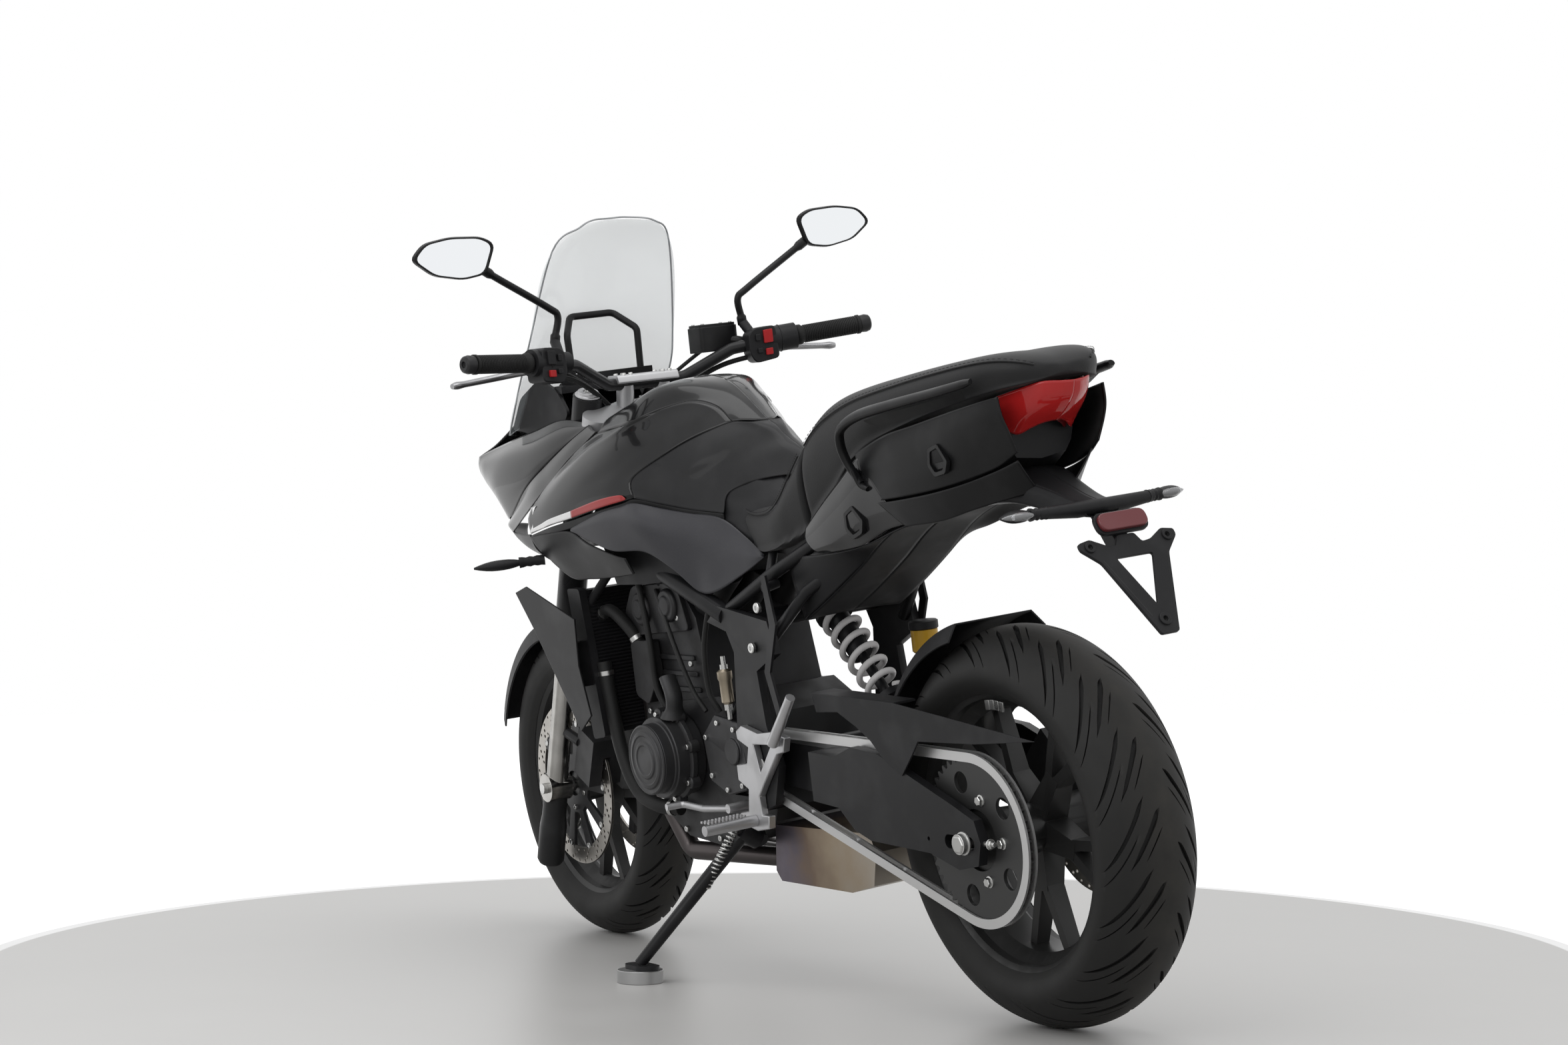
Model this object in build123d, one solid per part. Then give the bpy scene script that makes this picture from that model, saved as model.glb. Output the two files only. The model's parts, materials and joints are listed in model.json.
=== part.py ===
from build123d import *
import os
from math import asin, atan2, cos, hypot, pi, radians, sin, sqrt, tan

# Sport touring motorcycle, millimetres. It is modelled upright, with X forward, Y to the left and Z up,
# from the point where the rear tyre's centre plane meets the ground, and then leaned on its side stand.

# Overall layout
WHEELBASE = 1418.0
NOSE_BASE = 1418.0  # the wheelbase that the nose's outlines are drawn for
RAKE = 23.1
TRAIL = 97.1
LEAN = 7.9
STEER = -2.0  # the handlebar stands turned a little to the right

# Wheels: tyre radius, tyre width, crown radius, half width over the rim flanges
FRONT_TYRE = (300.0, 120.0, 62.0)
REAR_TYRE = (315.0, 180.0, 95.0)
FRONT_FLANGE = 49.0
REAR_FLANGE = 75.0
BEAD_R = 216.0
FLANGE_R = 229.0
SEAT_GAP = 0.4
CARCASS = 11.0
SPOKES = 5

# Axles and hubs
AXLE_R = 10.0
RUNNING = 0.05
FRONT_HUB = 40.0
REAR_HUB = 44.0
FRONT_DISC_Y = 65.0
FRONT_DISC_R = 155.0
REAR_DISC_R = 127.5
DISC = 5.0

# Chain drive
PITCH = 15.875
REAR_TEETH = 51
FRONT_TEETH = 16
CHAIN_Y = 121.0
CHAIN_GAP = 4.4
CHAIN_PLATE = 4.0
CHAIN_HALF = 7.5
TOOTH_T = 6.5
TOOTH_TIP = 3.8
SPROCKET_GAP = 0.3
WINDOW_AT = 0.7134  # the rear sprocket's windows, as shares of its pitch radius
WINDOW_R = 0.1318
ROLLER_R = 5.0
CHAIN_ROOM = 3.0
GEARBOX_X = 665.0
GEARBOX_Z = 415.0

# Front end
FORK_Y = 105.0
FORK_OFFSET = 28.4
OUTER_R = 27.0
INNER_R = 20.5
NOSE_FORK_Y = 105.0  # the fork spacing that the nose's sections are drawn for
UPPER_YOKE = 1085.0
LOWER_YOKE = 872.0
STEM_R = 16.0
HEAD_R = 29.0
BAR_R = 11.0
GRIP_R = 16.0

# Swingarm and stand
PIVOT_X = 575.0
PIVOT_Z = 400.0
ARM_IN = 134.0
ARM_OUT = 150.0
PLATE_IN = 134.0
PLATE_OUT = 148.0
STAND_PIVOT = (672.0, 140.0, 278.0)
STAND_AXIS = (0.0, 0.820, 0.572)
STAND_FOOT = (777.0, 315.0)
STAND_LEG_R = 11.0
PUCK_R = 39.5
PUCK_H = 22.0

# Number plate holder: its top and foot, and its two fixing holes, across and down from the top
PLATE_TOP = Vector(-286, 0, 762)
PLATE_LOW = Vector(-366, 0, 624)
PLATE_HOLE = (71.0, -7.0)
PLATE_HOLE_R = 3.25

# Threaded holes for a paddock stand's bobbins, M8 tapping size, in the swingarm's ends
BOBBIN = (95.0, 315.0)
BOBBIN_R = 3.4

# Bodywork
PANEL = 3.5
GLASS = 4.0
SLIT = 1.5

REAR_AXLE_Z = REAR_TYRE[0]
FRONT_AXLE_Z = FRONT_TYRE[0] - (REAR_TYRE[2] - FRONT_TYRE[2]) * (1 - cos(radians(LEAN)))
UP_Y = -sin(radians(LEAN))
UP_Z = cos(radians(LEAN))
GROUND = -REAR_TYRE[2] * (1 - UP_Z)  # height of the ground plane along the true vertical

REAR_PITCH_R = PITCH / (2 * sin(pi / REAR_TEETH))
FRONT_PITCH_R = PITCH / (2 * sin(pi / FRONT_TEETH))


# ---------------------------------------------------------------- helpers
def both(shape):
    """The shape and its mirror image across the centre plane."""
    return [shape, mirror(shape, about=Plane.XZ)]


def fuse(*shapes):
    """One shape from many."""
    first, *rest = shapes
    return first.fuse(*rest) if rest else first


def ring(profile):
    """A body turned about Y from (radius, across) points."""
    return revolve(make_face(Polyline(*profile, close=True)), Axis.Y)


def plate(outline, low, high):
    """A side outline of (x, z) points, extruded across from y = low to y = high."""
    face = make_face(Polyline(*[(x, low, z) for x, z in outline], close=True))
    return extrude(face, amount=high - low, dir=(0, 1, 0))


def rod(start, end, radius, end_radius=None):
    """A round bar, or a cone, between two points."""
    a, b = Vector(*start), Vector(*end)
    near = Plane(origin=a, z_dir=b - a)
    if end_radius is None:
        return extrude(near * Circle(radius), amount=(b - a).length)
    far = Plane(origin=b, z_dir=b - a)
    return loft([near * Circle(radius), far * Circle(end_radius)])


def tube(points, radius, bend):
    """A round bar along straight runs joined by arcs of the bend radius."""
    path = FilletPolyline(*points, radius=bend)
    return sweep(Plane(origin=path @ 0, z_dir=path % 0) * Circle(radius), path=path)


def disc_at(x, y0, y1, z, radius):
    """A round bar across the machine."""
    return rod((x, y0, z), (x, y1, z), radius)


def station(x, half, inset=0.0):
    """A closed cross section at x from half a section, read from the top centre to the bottom centre."""
    top, bottom = half[0][1], half[-1][1]
    middle = (top + bottom) / 2
    moved = [(max(y - inset, 0.0), z - inset if z > middle else z + inset) for y, z in half]
    right = [(-y, z) for y, z in reversed(moved) if y > 0]
    return make_face(Polyline(*[(x, y, z) for y, z in moved + right], close=True))


def body(stations, inset=0.0, reach=0.0):
    """A ruled body through cross sections along X. reach runs its two ends out, for use as a cutter."""
    if reach:
        (first, head), (last, foot) = stations[0], stations[-1]
        out = reach if first > last else -reach
        stations = [(first + out, head), *stations, (last - out, foot)]
    return loft([station(x, half, inset) for x, half in stations], ruled=True)


def steered(shape):
    """Turned about the steering axis to the resting angle of the handlebar."""
    return shape.rotate(STEER_AXIS, STEER)


RAKE_SIN, RAKE_COS = sin(radians(RAKE)), cos(radians(RAKE))
STEER_GROUND_X = WHEELBASE + TRAIL
STEER_AXIS = Axis((STEER_GROUND_X, 0, 0), (-RAKE_SIN, 0, RAKE_COS))


def along(height, ahead=0.0, y=0.0):
    """A point from its height along the steering axis and its distance ahead of it."""
    return (STEER_GROUND_X - height * RAKE_SIN + ahead * RAKE_COS, y, height * RAKE_COS + ahead * RAKE_SIN)


AXLE_ALONG = (WHEELBASE - STEER_GROUND_X) * -RAKE_SIN + FRONT_AXLE_Z * RAKE_COS


# ---------------------------------------------------------------- wheels
def tyre(radius, width, crown, flange):
    """A hollow tyre, open towards the rim, about its own axle."""
    seat = BEAD_R + SEAT_GAP
    edge_y = 0.955 * width / 2
    edge_r = radius - crown + sqrt(crown**2 - edge_y**2)
    heel, toe = (seat, flange - 9.6), (seat, flange - 26)
    lip = (FLANGE_R + 3, flange - 5)
    inner = (edge_r - 20, width / 2 - CARCASS)

    def other(point):
        return (point[0], -point[1])

    wall = ((edge_r + lip[0]) / 2, width / 2 + 0.5)
    outline = [
        Line(toe, heel),
        Line(heel, lip),
        ThreePointArc(lip, wall, (edge_r, edge_y)),
        ThreePointArc((edge_r, edge_y), (radius, 0), other((edge_r, edge_y))),
        ThreePointArc(other((edge_r, edge_y)), other(wall), other(lip)),
        Line(other(lip), other(heel)),
        Line(other(heel), other(toe)),
        Line(other(toe), other(inner)),
        ThreePointArc(other(inner), (radius - CARCASS, 0), inner),
        Line(inner, toe),
    ]
    return revolve(make_face(outline), Axis.Y)


def rim(flange, hub_r, hub_half, stem_half):
    """A cast rim with a drop centre, a hub and five forked spokes, about its own axle."""
    well = flange - 42
    right = [
        (FLANGE_R, -flange),
        (FLANGE_R, -flange + 5),
        (BEAD_R, -flange + 9),
        (BEAD_R, -flange + 28),
        (BEAD_R - 18, -well),
        (BEAD_R - 18, well),
        (BEAD_R, flange - 28),
        (BEAD_R, flange - 9),
        (FLANGE_R, flange - 5),
        (FLANGE_R, flange),
    ]
    back = [
        (FLANGE_R - 5, flange),
        (BEAD_R - 7, flange - 13),
        (BEAD_R - 7, flange - 27),
        (BEAD_R - 24, well - 3),
        (BEAD_R - 24, -well + 3),
        (BEAD_R - 7, -flange + 27),
        (BEAD_R - 7, -flange + 13),
        (FLANGE_R - 5, -flange),
    ]
    barrel = ring(right + back)
    hub = ring([(0, -hub_half), (hub_r, -hub_half), (hub_r - 6, 0), (hub_r, hub_half), (0, hub_half)])

    def cut(x, z, width, half):
        return Plane(origin=(x, 0, z), x_dir=(0, 1, 0), z_dir=(1, 0, 0)) * Rectangle(2 * half, width)

    pieces = []
    for i in range(SPOKES):
        stem = loft([cut(hub_r - 12, 0, 46, stem_half), cut(100, 0, 30, stem_half * 0.72)])
        arms = [
            loft([cut(88, s * 6, 18, stem_half * 0.72), cut(BEAD_R - 20, s * 46, 16, stem_half * 0.55)])
            for s in (-1, 1)
        ]
        pieces += [p.rotate(Axis.Y, i * 360 / SPOKES + 18) for p in (stem, *arms)]
    wheel = fuse(barrel, hub, *pieces)
    return wheel - Cylinder(AXLE_R + RUNNING, 4 * hub_half).rotate(Axis.X, 90)


def brake_disc(outer, inner, centre_r, bore_r):
    """A brake disc: a ring on five arms from a centre flange, about its own axle."""
    half = DISC / 2
    band = ring([(inner, -half), (outer, -half), (outer, half), (inner, half)])
    flange = ring([(bore_r, -half), (centre_r, -half), (centre_r, half), (bore_r, half)])
    arms = []
    for i in range(SPOKES):
        arm = Pos((centre_r + inner) / 2, 0, 0) * Box(inner - centre_r + 8, DISC, 15)
        arms.append(arm.rotate(Axis.Y, i * 360 / SPOKES + 50))
    return fuse(band, flange, *arms)


def at_rear(shape):
    """A shape about the rear axle, moved to it."""
    return Pos(0, 0, REAR_AXLE_Z) * shape


def at_front(shape):
    """A shape about the front axle, moved to it."""
    return steered(Pos(WHEELBASE, 0, FRONT_AXLE_Z) * shape)


def front_wheel():
    """The front rim, tyre and pair of discs."""
    wheel = rim(FRONT_FLANGE, FRONT_HUB, FRONT_DISC_Y - DISC / 2, 17)
    disc = brake_disc(FRONT_DISC_R, FRONT_DISC_R - 33, FRONT_HUB + 16, 24)
    discs = [Pos(0, s * FRONT_DISC_Y, 0) * disc for s in (-1, 1)]
    return {
        "front_rim": at_front(wheel),
        "front_tyre": at_front(tyre(*FRONT_TYRE, FRONT_FLANGE)),
        "front_discs": [at_front(d) for d in discs],
    }


def toothed_ring(teeth, pitch_r, bore_r):
    """A sprocket's ring about its own axle: rollers seat between the teeth on the pitch circle."""
    profile = [(-0.36, -ROLLER_R), (-0.26, -1.6), (-0.1, TOOTH_TIP), (0.1, TOOTH_TIP), (0.26, -1.6),
               (0.36, -ROLLER_R)]
    points = []
    for i in range(teeth):
        for share, rise in profile:
            angle = (i + share) * 2 * pi / teeth
            points.append(((pitch_r + rise) * cos(angle), 0, (pitch_r + rise) * sin(angle)))
    blank = extrude(make_face(Polyline(*points, close=True)), amount=TOOTH_T / 2, dir=(0, 1, 0), both=True)
    return blank - Cylinder(bore_r, 3 * TOOTH_T).rotate(Axis.X, 90)


def rear_wheel():
    """The rear rim, tyre, toothed sprocket and disc."""
    hub_half = CHAIN_Y - TOOTH_T / 2
    wheel = rim(REAR_FLANGE, REAR_HUB, hub_half - 20, 22)
    carrier = ring([(AXLE_R + 6, 0), (58, 0), (58, 20), (AXLE_R + 6, 20)])
    carrier = Pos(0, hub_half - 20, 0) * carrier
    sprocket = toothed_ring(REAR_TEETH, REAR_PITCH_R, 48)
    for i in range(SPOKES):
        angle = radians(i * 360 / SPOKES)
        hole = Cylinder(WINDOW_R * REAR_PITCH_R, 3 * TOOTH_T).rotate(Axis.X, 90)
        window = Pos(WINDOW_AT * REAR_PITCH_R * cos(angle), 0, WINDOW_AT * REAR_PITCH_R * sin(angle)) * hole
        sprocket -= window
    sprocket = Pos(0, CHAIN_Y, 0) * sprocket
    disc = Pos(0, -(hub_half - 20 + DISC / 2), 0) * brake_disc(REAR_DISC_R, REAR_DISC_R - 40, 62, 24)
    return {
        "rear_rim": at_rear(fuse(wheel, carrier)),
        "rear_tyre": at_rear(tyre(*REAR_TYRE, REAR_FLANGE)),
        "rear_sprocket": at_rear(sprocket),
        "rear_disc": at_rear(disc),
    }


# ---------------------------------------------------------------- chain drive
def belt(grow):
    """The side face of a loop round both sprockets, grown outwards from the chain's pitch line."""
    span = hypot(GEARBOX_X, GEARBOX_Z - REAR_AXLE_Z)
    tilt = atan2(GEARBOX_Z - REAR_AXLE_Z, GEARBOX_X)
    big, small = REAR_PITCH_R + grow, FRONT_PITCH_R + grow
    turn = asin((REAR_PITCH_R - FRONT_PITCH_R) / span)

    def on(cx, cz, r, angle):
        return (cx + r * cos(angle), cz + r * sin(angle))

    up, down = tilt + pi / 2 - turn, tilt - pi / 2 + turn
    top = on(0, REAR_AXLE_Z, big, up), on(GEARBOX_X, GEARBOX_Z, small, up)
    low = on(0, REAR_AXLE_Z, big, down), on(GEARBOX_X, GEARBOX_Z, small, down)
    back = on(0, REAR_AXLE_Z, big, tilt + pi)
    nose = on(GEARBOX_X, GEARBOX_Z, small, tilt)

    def lift(point):
        return (point[0], 0, point[1])

    return make_face([
        Line(lift(top[0]), lift(top[1])),
        ThreePointArc(lift(top[1]), lift(nose), lift(low[1])),
        Line(lift(low[1]), lift(low[0])),
        ThreePointArc(lift(low[0]), lift(back), lift(top[0])),
    ])


def drive_chain():
    """The chain's side plates as two loops, tied by rollers on the straight runs."""
    loop = extrude(belt(CHAIN_HALF), amount=CHAIN_PLATE, dir=(0, 1, 0))
    loop -= extrude(belt(-CHAIN_HALF), amount=CHAIN_PLATE, dir=(0, 1, 0))
    rails = [Pos(0, CHAIN_Y + y, 0) * loop for y in (CHAIN_GAP, -CHAIN_GAP - CHAIN_PLATE)]
    span = hypot(GEARBOX_X, GEARBOX_Z - REAR_AXLE_Z)
    tilt = atan2(GEARBOX_Z - REAR_AXLE_Z, GEARBOX_X)
    turn = asin((REAR_PITCH_R - FRONT_PITCH_R) / span)
    rollers = []
    for side in (1, -1):
        angle = tilt + side * (pi / 2 - turn)
        x0, z0 = REAR_PITCH_R * cos(angle), REAR_AXLE_Z + REAR_PITCH_R * sin(angle)
        x1 = GEARBOX_X + FRONT_PITCH_R * cos(angle)
        z1 = GEARBOX_Z + FRONT_PITCH_R * sin(angle)
        for share in (0.3, 0.5, 0.7):
            x, z = x0 + (x1 - x0) * share, z0 + (z1 - z0) * share
            rollers.append(disc_at(x, CHAIN_Y - CHAIN_GAP - 1, CHAIN_Y + CHAIN_GAP + 1, z, ROLLER_R))
    return fuse(*rails, *rollers)


# ---------------------------------------------------------------- frame and engine
def main_frame():
    """Steering head, a tube spar down each side and the cast pivot plates."""
    head = rod(along(LOWER_YOKE + 22), along(UPPER_YOKE - 22), HEAD_R)
    head -= rod(along(LOWER_YOKE), along(UPPER_YOKE), STEM_R + 1.0)
    outline = [
        (700, 640), (660, 668), (505, 645), (492, 590), (555, 560), (545, 470), (520, 400), (545, 335),
        (600, 318), (622, 400), (640, 462), (622, 590), (640, 625),
    ]
    sides = []
    for s in (1, -1):
        spar = tube(
            [along(950, 0, s * 20), (1010, s * 104, 800), (905, s * 136, 742), (650, s * 136, 650)], 17, 60
        )
        low, high = sorted((s * PLATE_IN, s * PLATE_OUT))
        boss = disc_at(598, s * 100, s * (PLATE_IN + 1), 330, 11)
        hanger = rod((900, s * 100, 680), (900, s * 134, 738), 11)
        post = rod((880, s * 128, 735), (880, s * 80, 880), 9)
        sides += [spar, plate(outline, low, high), boss, hanger, post]
    cross = disc_at(600, -PLATE_IN - 1, PLATE_IN + 1, 640, 16)
    shaft = disc_at(PIVOT_X, -PLATE_OUT, PLATE_OUT, PIVOT_Z, 9)
    ear = [(585, 700), (545, 700), (560, 640), (600, 640)]
    mount = fuse(*[plate(ear, s - 4, s + 4) for s in (-24, 24)])
    frame = fuse(head, *sides, cross, shaft, mount)
    frame -= rod(along(LOWER_YOKE), along(UPPER_YOKE), STEM_R + 1.0)
    return frame - engine() - body(TANK, -0.3)


def engine():
    """The engine and gearbox as one heavy block with its cylinder bank leaning forward."""
    case = [
        (1000, 480), (1015, 400), (990, 300), (900, 250), (770, 240), (690, 288), (600, 297), (590, 320),
        (660, 350), (668, 470), (740, 505),
    ]
    bank = [(1000, 470), (770, 495), (800, 640), (850, 700), (1000, 690), (1040, 640), (1030, 520)]
    block = fuse(plate(case, -118, 118), plate(bank, -112, 112))
    block -= plate([(560, 335), (725, 335), (725, 485), (560, 485)], 102, 130)
    output = disc_at(GEARBOX_X, 100, CHAIN_Y + 10, GEARBOX_Z, 14)
    half = CHAIN_GAP - SPROCKET_GAP
    sprocket = disc_at(GEARBOX_X, CHAIN_Y - half, CHAIN_Y + half, GEARBOX_Z, FRONT_PITCH_R + TOOTH_TIP)
    return fuse(block, output, sprocket)


def engine_covers():
    """Round covers on the crankcase: generator on the left, clutch on the right."""
    left = fuse(disc_at(880, 118.3, 175, 400, 72), disc_at(880, 170, 196, 400, 62))
    outline = [(648, 468), (722, 478), (768, 440), (757, 362), (700, 340), (640, 352), (632, 400)]
    sprocket = plate(outline, 136, 144)
    pad = plate([(768, 440), (732, 445), (732, 365), (757, 362)], 118.3, 137)
    cap = disc_at(668, 143, 150, 418, 23)
    sprocket = fuse(sprocket, pad, cap)
    right = fuse(disc_at(830, -118.3, -165, 395, 88), disc_at(830, -160, -178, 395, 70))
    return [left, right, sprocket]


def radiator():
    """The radiator core with two stays to the frame."""
    core = [(1146, 690), (1111, 690), (1078, 430), (1110, 425)]
    stays = [rod((1120, s * 150, 660), (984, s * 112, 785), 8) for s in (1, -1)]
    return fuse(plate(core, -170, 170), *stays) - main_frame()


def radiator_shrouds():
    """The covers beside the radiator."""
    outline = [(1300, 690), (1255, 702), (1080, 645), (1085, 560), (1060, 470), (1105, 440), (1180, 540),
               (1240, 620)]
    side = plate(outline, 198, 198 + PANEL)
    tab = plate([(1125, 600), (1105, 600), (1095, 520), (1115, 520)], 170.3, 199)
    return both(fuse(side, tab))


def exhaust():
    """Three headers into a flat silencer under the engine."""
    box = [(655, 205), (640, 285), (350, 292), (335, 262), (352, 205), (420, 188), (640, 188)]
    silencer = plate(box, -96, 96)
    collector = rod((650, 0, 237), (760, 0, 205), 36, 28)
    pipes = []
    for y in (-75, 0, 75):
        route = [(1020, y, 585), (1060, y, 560), (1048, y, 300), (1000, y * 0.8, 205), (755, y * 0.25, 205)]
        pipes.append(tube(route, 17, 26))
    outlet = rod((400, -90, 240), (360, -135, 240), 22)
    return fuse(silencer, collector, *pipes, outlet) - engine()


# ---------------------------------------------------------------- bodywork
TANK = [
    (1001, [(0, 1020), (72, 1014), (118, 985), (135, 930), (120, 872), (0, 860)]),
    (900, [(0, 1052), (85, 1042), (126, 1005), (138, 955), (130, 870), (0, 850)]),
    (780, [(0, 1038), (48, 1030), (100, 965), (128, 905), (124, 858), (0, 845)]),
    (690, [(0, 984), (42, 972), (86, 905), (112, 868), (104, 845), (0, 838)]),
    (615, [(0, 936), (30, 926), (64, 884), (88, 860), (84, 840), (0, 834)]),
    (560, [(0, 896), (22, 888), (48, 866), (64, 852), (56, 844), (0, 841)]),
]
RIDER_SEAT = [
    (668, [(0, 830), (70, 829), (112, 818), (118, 800), (100, 790), (0, 790)]),
    (600, [(0, 831), (75, 830), (122, 806), (128, 780), (105, 768), (0, 768)]),
    (552, [(0, 836), (80, 833), (130, 800), (132, 765), (110, 752), (0, 752)]),
    (500, [(0, 840), (90, 837), (138, 806), (140, 775), (112, 762), (0, 762)]),
    (450, [(0, 885), (95, 875), (132, 835), (136, 795), (110, 778), (0, 778)]),
    (388, [(0, 958), (98, 944), (126, 890), (128, 806), (105, 792), (0, 792)]),
]
PILLION_SEAT = [
    (386, [(0, 960), (98, 946), (126, 892), (128, 808), (105, 794), (0, 794)]),
    (300, [(0, 1007), (95, 998), (120, 950), (122, 866), (95, 852), (0, 852)]),
    (220, [(0, 1020), (100, 1010), (122, 965), (122, 925), (95, 912), (0, 912)]),
    (0, [(0, 1043), (100, 1030), (118, 990), (112, 975), (90, 972), (0, 972)]),
    (-130, [(0, 1052), (85, 1040), (102, 1012), (98, 995), (80, 992), (0, 992)]),
    (-190, [(0, 1030), (50, 1024), (62, 1014), (58, 1004), (48, 1002), (0, 1002)]),
]
TAIL = [
    (384, [(0, 793), (122, 793), (128, 784), (126, 766), (100, 752), (0, 752)]),
    (300, [(0, 851.5), (124, 851.5), (131, 810), (127, 762), (95, 705), (0, 702)]),
    (220, [(0, 911.5), (124, 911.5), (131, 850), (126, 770), (92, 690), (0, 684)]),
    (100, [(0, 944), (122, 944), (128, 890), (116, 795), (85, 705), (0, 700)]),
    (0, [(0, 971.5), (118, 971.5), (122, 915), (106, 830), (78, 775), (0, 770)]),
    (-145, [(0, 991.5), (94, 991.5), (96, 945), (80, 875), (60, 850), (0, 846)]),
]
COWL = [
    (1310, [(0, 1000), (120, 995), (205, 930), (222, 850), (208, 790), (150, 700), (0, 690)]),
    (1150, [(0, 1005), (130, 1000), (208, 930), (228, 850), (214, 790), (165, 700), (0, 690)]),
    (1000, [(0, 1010), (135, 1005), (196, 945), (222, 860), (208, 780), (165, 700), (0, 690)]),
    (850, [(0, 1010), (130, 1005), (172, 950), (190, 860), (190, 780), (160, 700), (0, 690)]),
    (700, [(0, 1000), (110, 990), (140, 940), (158, 850), (166, 780), (158, 690), (0, 680)]),
    (560, [(0, 960), (80, 940), (125, 900), (150, 835), (158, 780), (156, 690), (0, 680)]),
    (470, [(0, 940), (75, 920), (115, 880), (146, 820), (152, 780), (150, 690), (0, 680)]),
]
NOSE = [
    (1500, [(0, 940), (90, 938), (125, 920), (120, 885), (80, 865), (0, 860)]),
    (1440, [(0, 962), (110, 958), (158, 930), (160, 880), (125, 820), (0, 810)]),
    (1360, [(0, 985), (125, 980), (190, 940), (200, 875), (180, 800), (0, 790)]),
    (1230, [(0, 1010), (130, 1005), (205, 945), (222, 860), (214, 780), (0, 770)]),
    (1060, [(0, 1015), (152, 1012), (194, 960), (204, 900), (195, 860), (0, 850)]),
]


def ahead(shape):
    """A piece of the nose, moved along with the front wheel."""
    return Pos(WHEELBASE - NOSE_BASE, 0, 0) * shape


def shell(stations, thickness=PANEL, reach=60.0):
    """The wall of a body, open at both ends."""
    return body(stations) - body(stations, thickness, reach)


def panel(wall, outline):
    """The piece of a wall that lies inside a side outline, on both sides of the machine."""
    piece = wall & plate(outline, 20, 400)
    return both(piece)


def fuel_tank():
    """The tank as a closed pressed shell, with the studs that carry the side panels."""
    studs = []
    for s in (1, -1):
        for x, z in ((940, 900), (700, 870)):
            stud = rod((x, s * 90, z), (x, s * 260, z), 7)
            studs.append((stud & body(COWL, PANEL + 0.3)) - body(TANK))
    return fuse(body(TANK) - body(TANK, 2.5), *studs)


SEAM = [(1270, 806), (1056, 815), (812, 857)]  # where the upper and lower panels meet


def seam(shift):
    """The joint line between the upper and lower side panels, shifted up by a height."""
    return [(x, z + shift) for x, z in SEAM]


def tank_side_panels():
    """The upper side panels and the knee panels below them."""
    wall = shell(COWL)
    upper = [*reversed(seam(SLIT / 4)), (1285, 815), (1240, 848), (1010, 955), (900, 978), (815, 975),
             (770, 912)]
    lower = [*seam(-SLIT / 4)[:2], (1055, 811.5), (852, 774.5), (836, 738), (1000, 748), (1110, 714),
             (1150, 708)]
    return panel(wall, upper) + panel(wall, lower)


def lower_side_panels():
    """The lower side panels, which follow the frame down to the engine."""
    outline = [*seam(-SLIT / 4)[1:], (530, 824), (486, 790), (600, 712), (640, 706), (765, 766),
               (851, 775.3), (1053, 812.2)]
    return panel(shell(COWL), outline)


def nose_fairing():
    """The nose's side walls, which widen with the forks, and its front between the lamps."""
    spread = FORK_Y - NOSE_FORK_Y
    wall = shell([(x, [(y + spread if y > 50 else y, z) for y, z in half]) for x, half in NOSE])
    outline = [(1520, 945), (1480, 948), (1395, 937), (1190, 996), (1066, 1000), (1100, 985), (1290, 902),
               (1370, 858), (1428, 812), (1425, 845), (1500, 880)]
    sides = [wall & plate(outline, 20, 400)]
    sides.append(mirror(sides[0], about=Plane.XZ))
    front = body([(1503, NOSE[0][1]), (1496, NOSE[0][1])])
    return ahead(fuse(*sides, front))


def headlights():
    """Two lamps behind the front of the nose."""
    lamp = [(1495.7, 925), (1470, 935), (1440, 905), (1442, 850), (1478, 858)]
    return both(ahead(plate(lamp, 30, 105)))


def windscreen():
    """A clear screen, bent round an upright curve and leaning back."""
    line = [(1405, 1000), (1330, 1085), (1278, 1165), (1190, 1322), (1140, 1352)]
    half = [150, 160, 152, 122, 78]

    def cut(x, z, w, grow):
        lean = Plane(origin=(x + grow, 0, z), x_dir=(0, 1, 0), z_dir=(-0.35, 0, 1))
        bow = 70.0 * w / 165
        outer = ThreePointArc((-w, bow), (0, 0), (w, bow))
        inner = ThreePointArc((w, bow + GLASS), (0, GLASS), (-w, bow + GLASS))
        return lean * make_face([outer, Line((w, bow), (w, bow + GLASS)), inner,
                                 Line((-w, bow + GLASS), (-w, bow))])

    return ahead(loft([cut(x, z, w, 0) for (x, z), w in zip(line, half)]))


def screen_adjuster():
    """A tube loop behind the screen with its bracket."""
    loop = tube([(1215, 72, 1075), (1215, 74, 1150), (1250, 45, 1184), (1250, -45, 1184),
                 (1215, -74, 1150), (1215, -72, 1075)], 6.5, 16)
    foot = [(1235, 1060), (1195, 1060), (1195, 1078), (1235, 1078)]
    return ahead(fuse(loop, plate(foot, -86, 86)))


def instrument_panel():
    """The inner cowl round the display, carried by the nose."""
    side = [(1385, 985), (1345, 1045), (1275, 1078), (1245, 1058), (1190, 1058), (1190, 1046),
            (1255, 1046), (1330, 975)]
    wings = both(plate(side, 104, 112))
    bridge = plate([(1260, 1046), (1194, 1046), (1194, 1059.7), (1260, 1059.7)], -106, 106)
    display = plate([(1300, 1000), (1262, 1046), (1240, 1040), (1280, 990)], -78, 78)
    shift = WHEELBASE - NOSE_BASE
    stay = fuse(rod(along(955, 22), (1300 + shift, 0, 975), 11),
                ahead(rod((1300, 0, 975), (1495.6, 0, 925), 10)))
    reach = 106 + FORK_Y - NOSE_FORK_Y
    holder = fuse(rod((1290, 0, 975), (1283, 0, 1000), 12), disc_at(1330, -reach, reach, 985, 8))
    cowl = ahead(fuse(*wings, bridge, display, holder))
    return fuse(cowl, stay) - windscreen() - main_frame() - screen_adjuster() - nose_fairing()


# ---------------------------------------------------------------- seat and tail
def tail_panels():
    """The tail from under the rider to the tail light."""
    return fuse(shell(TAIL)) - subframe_tubes(1.5)


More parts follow.
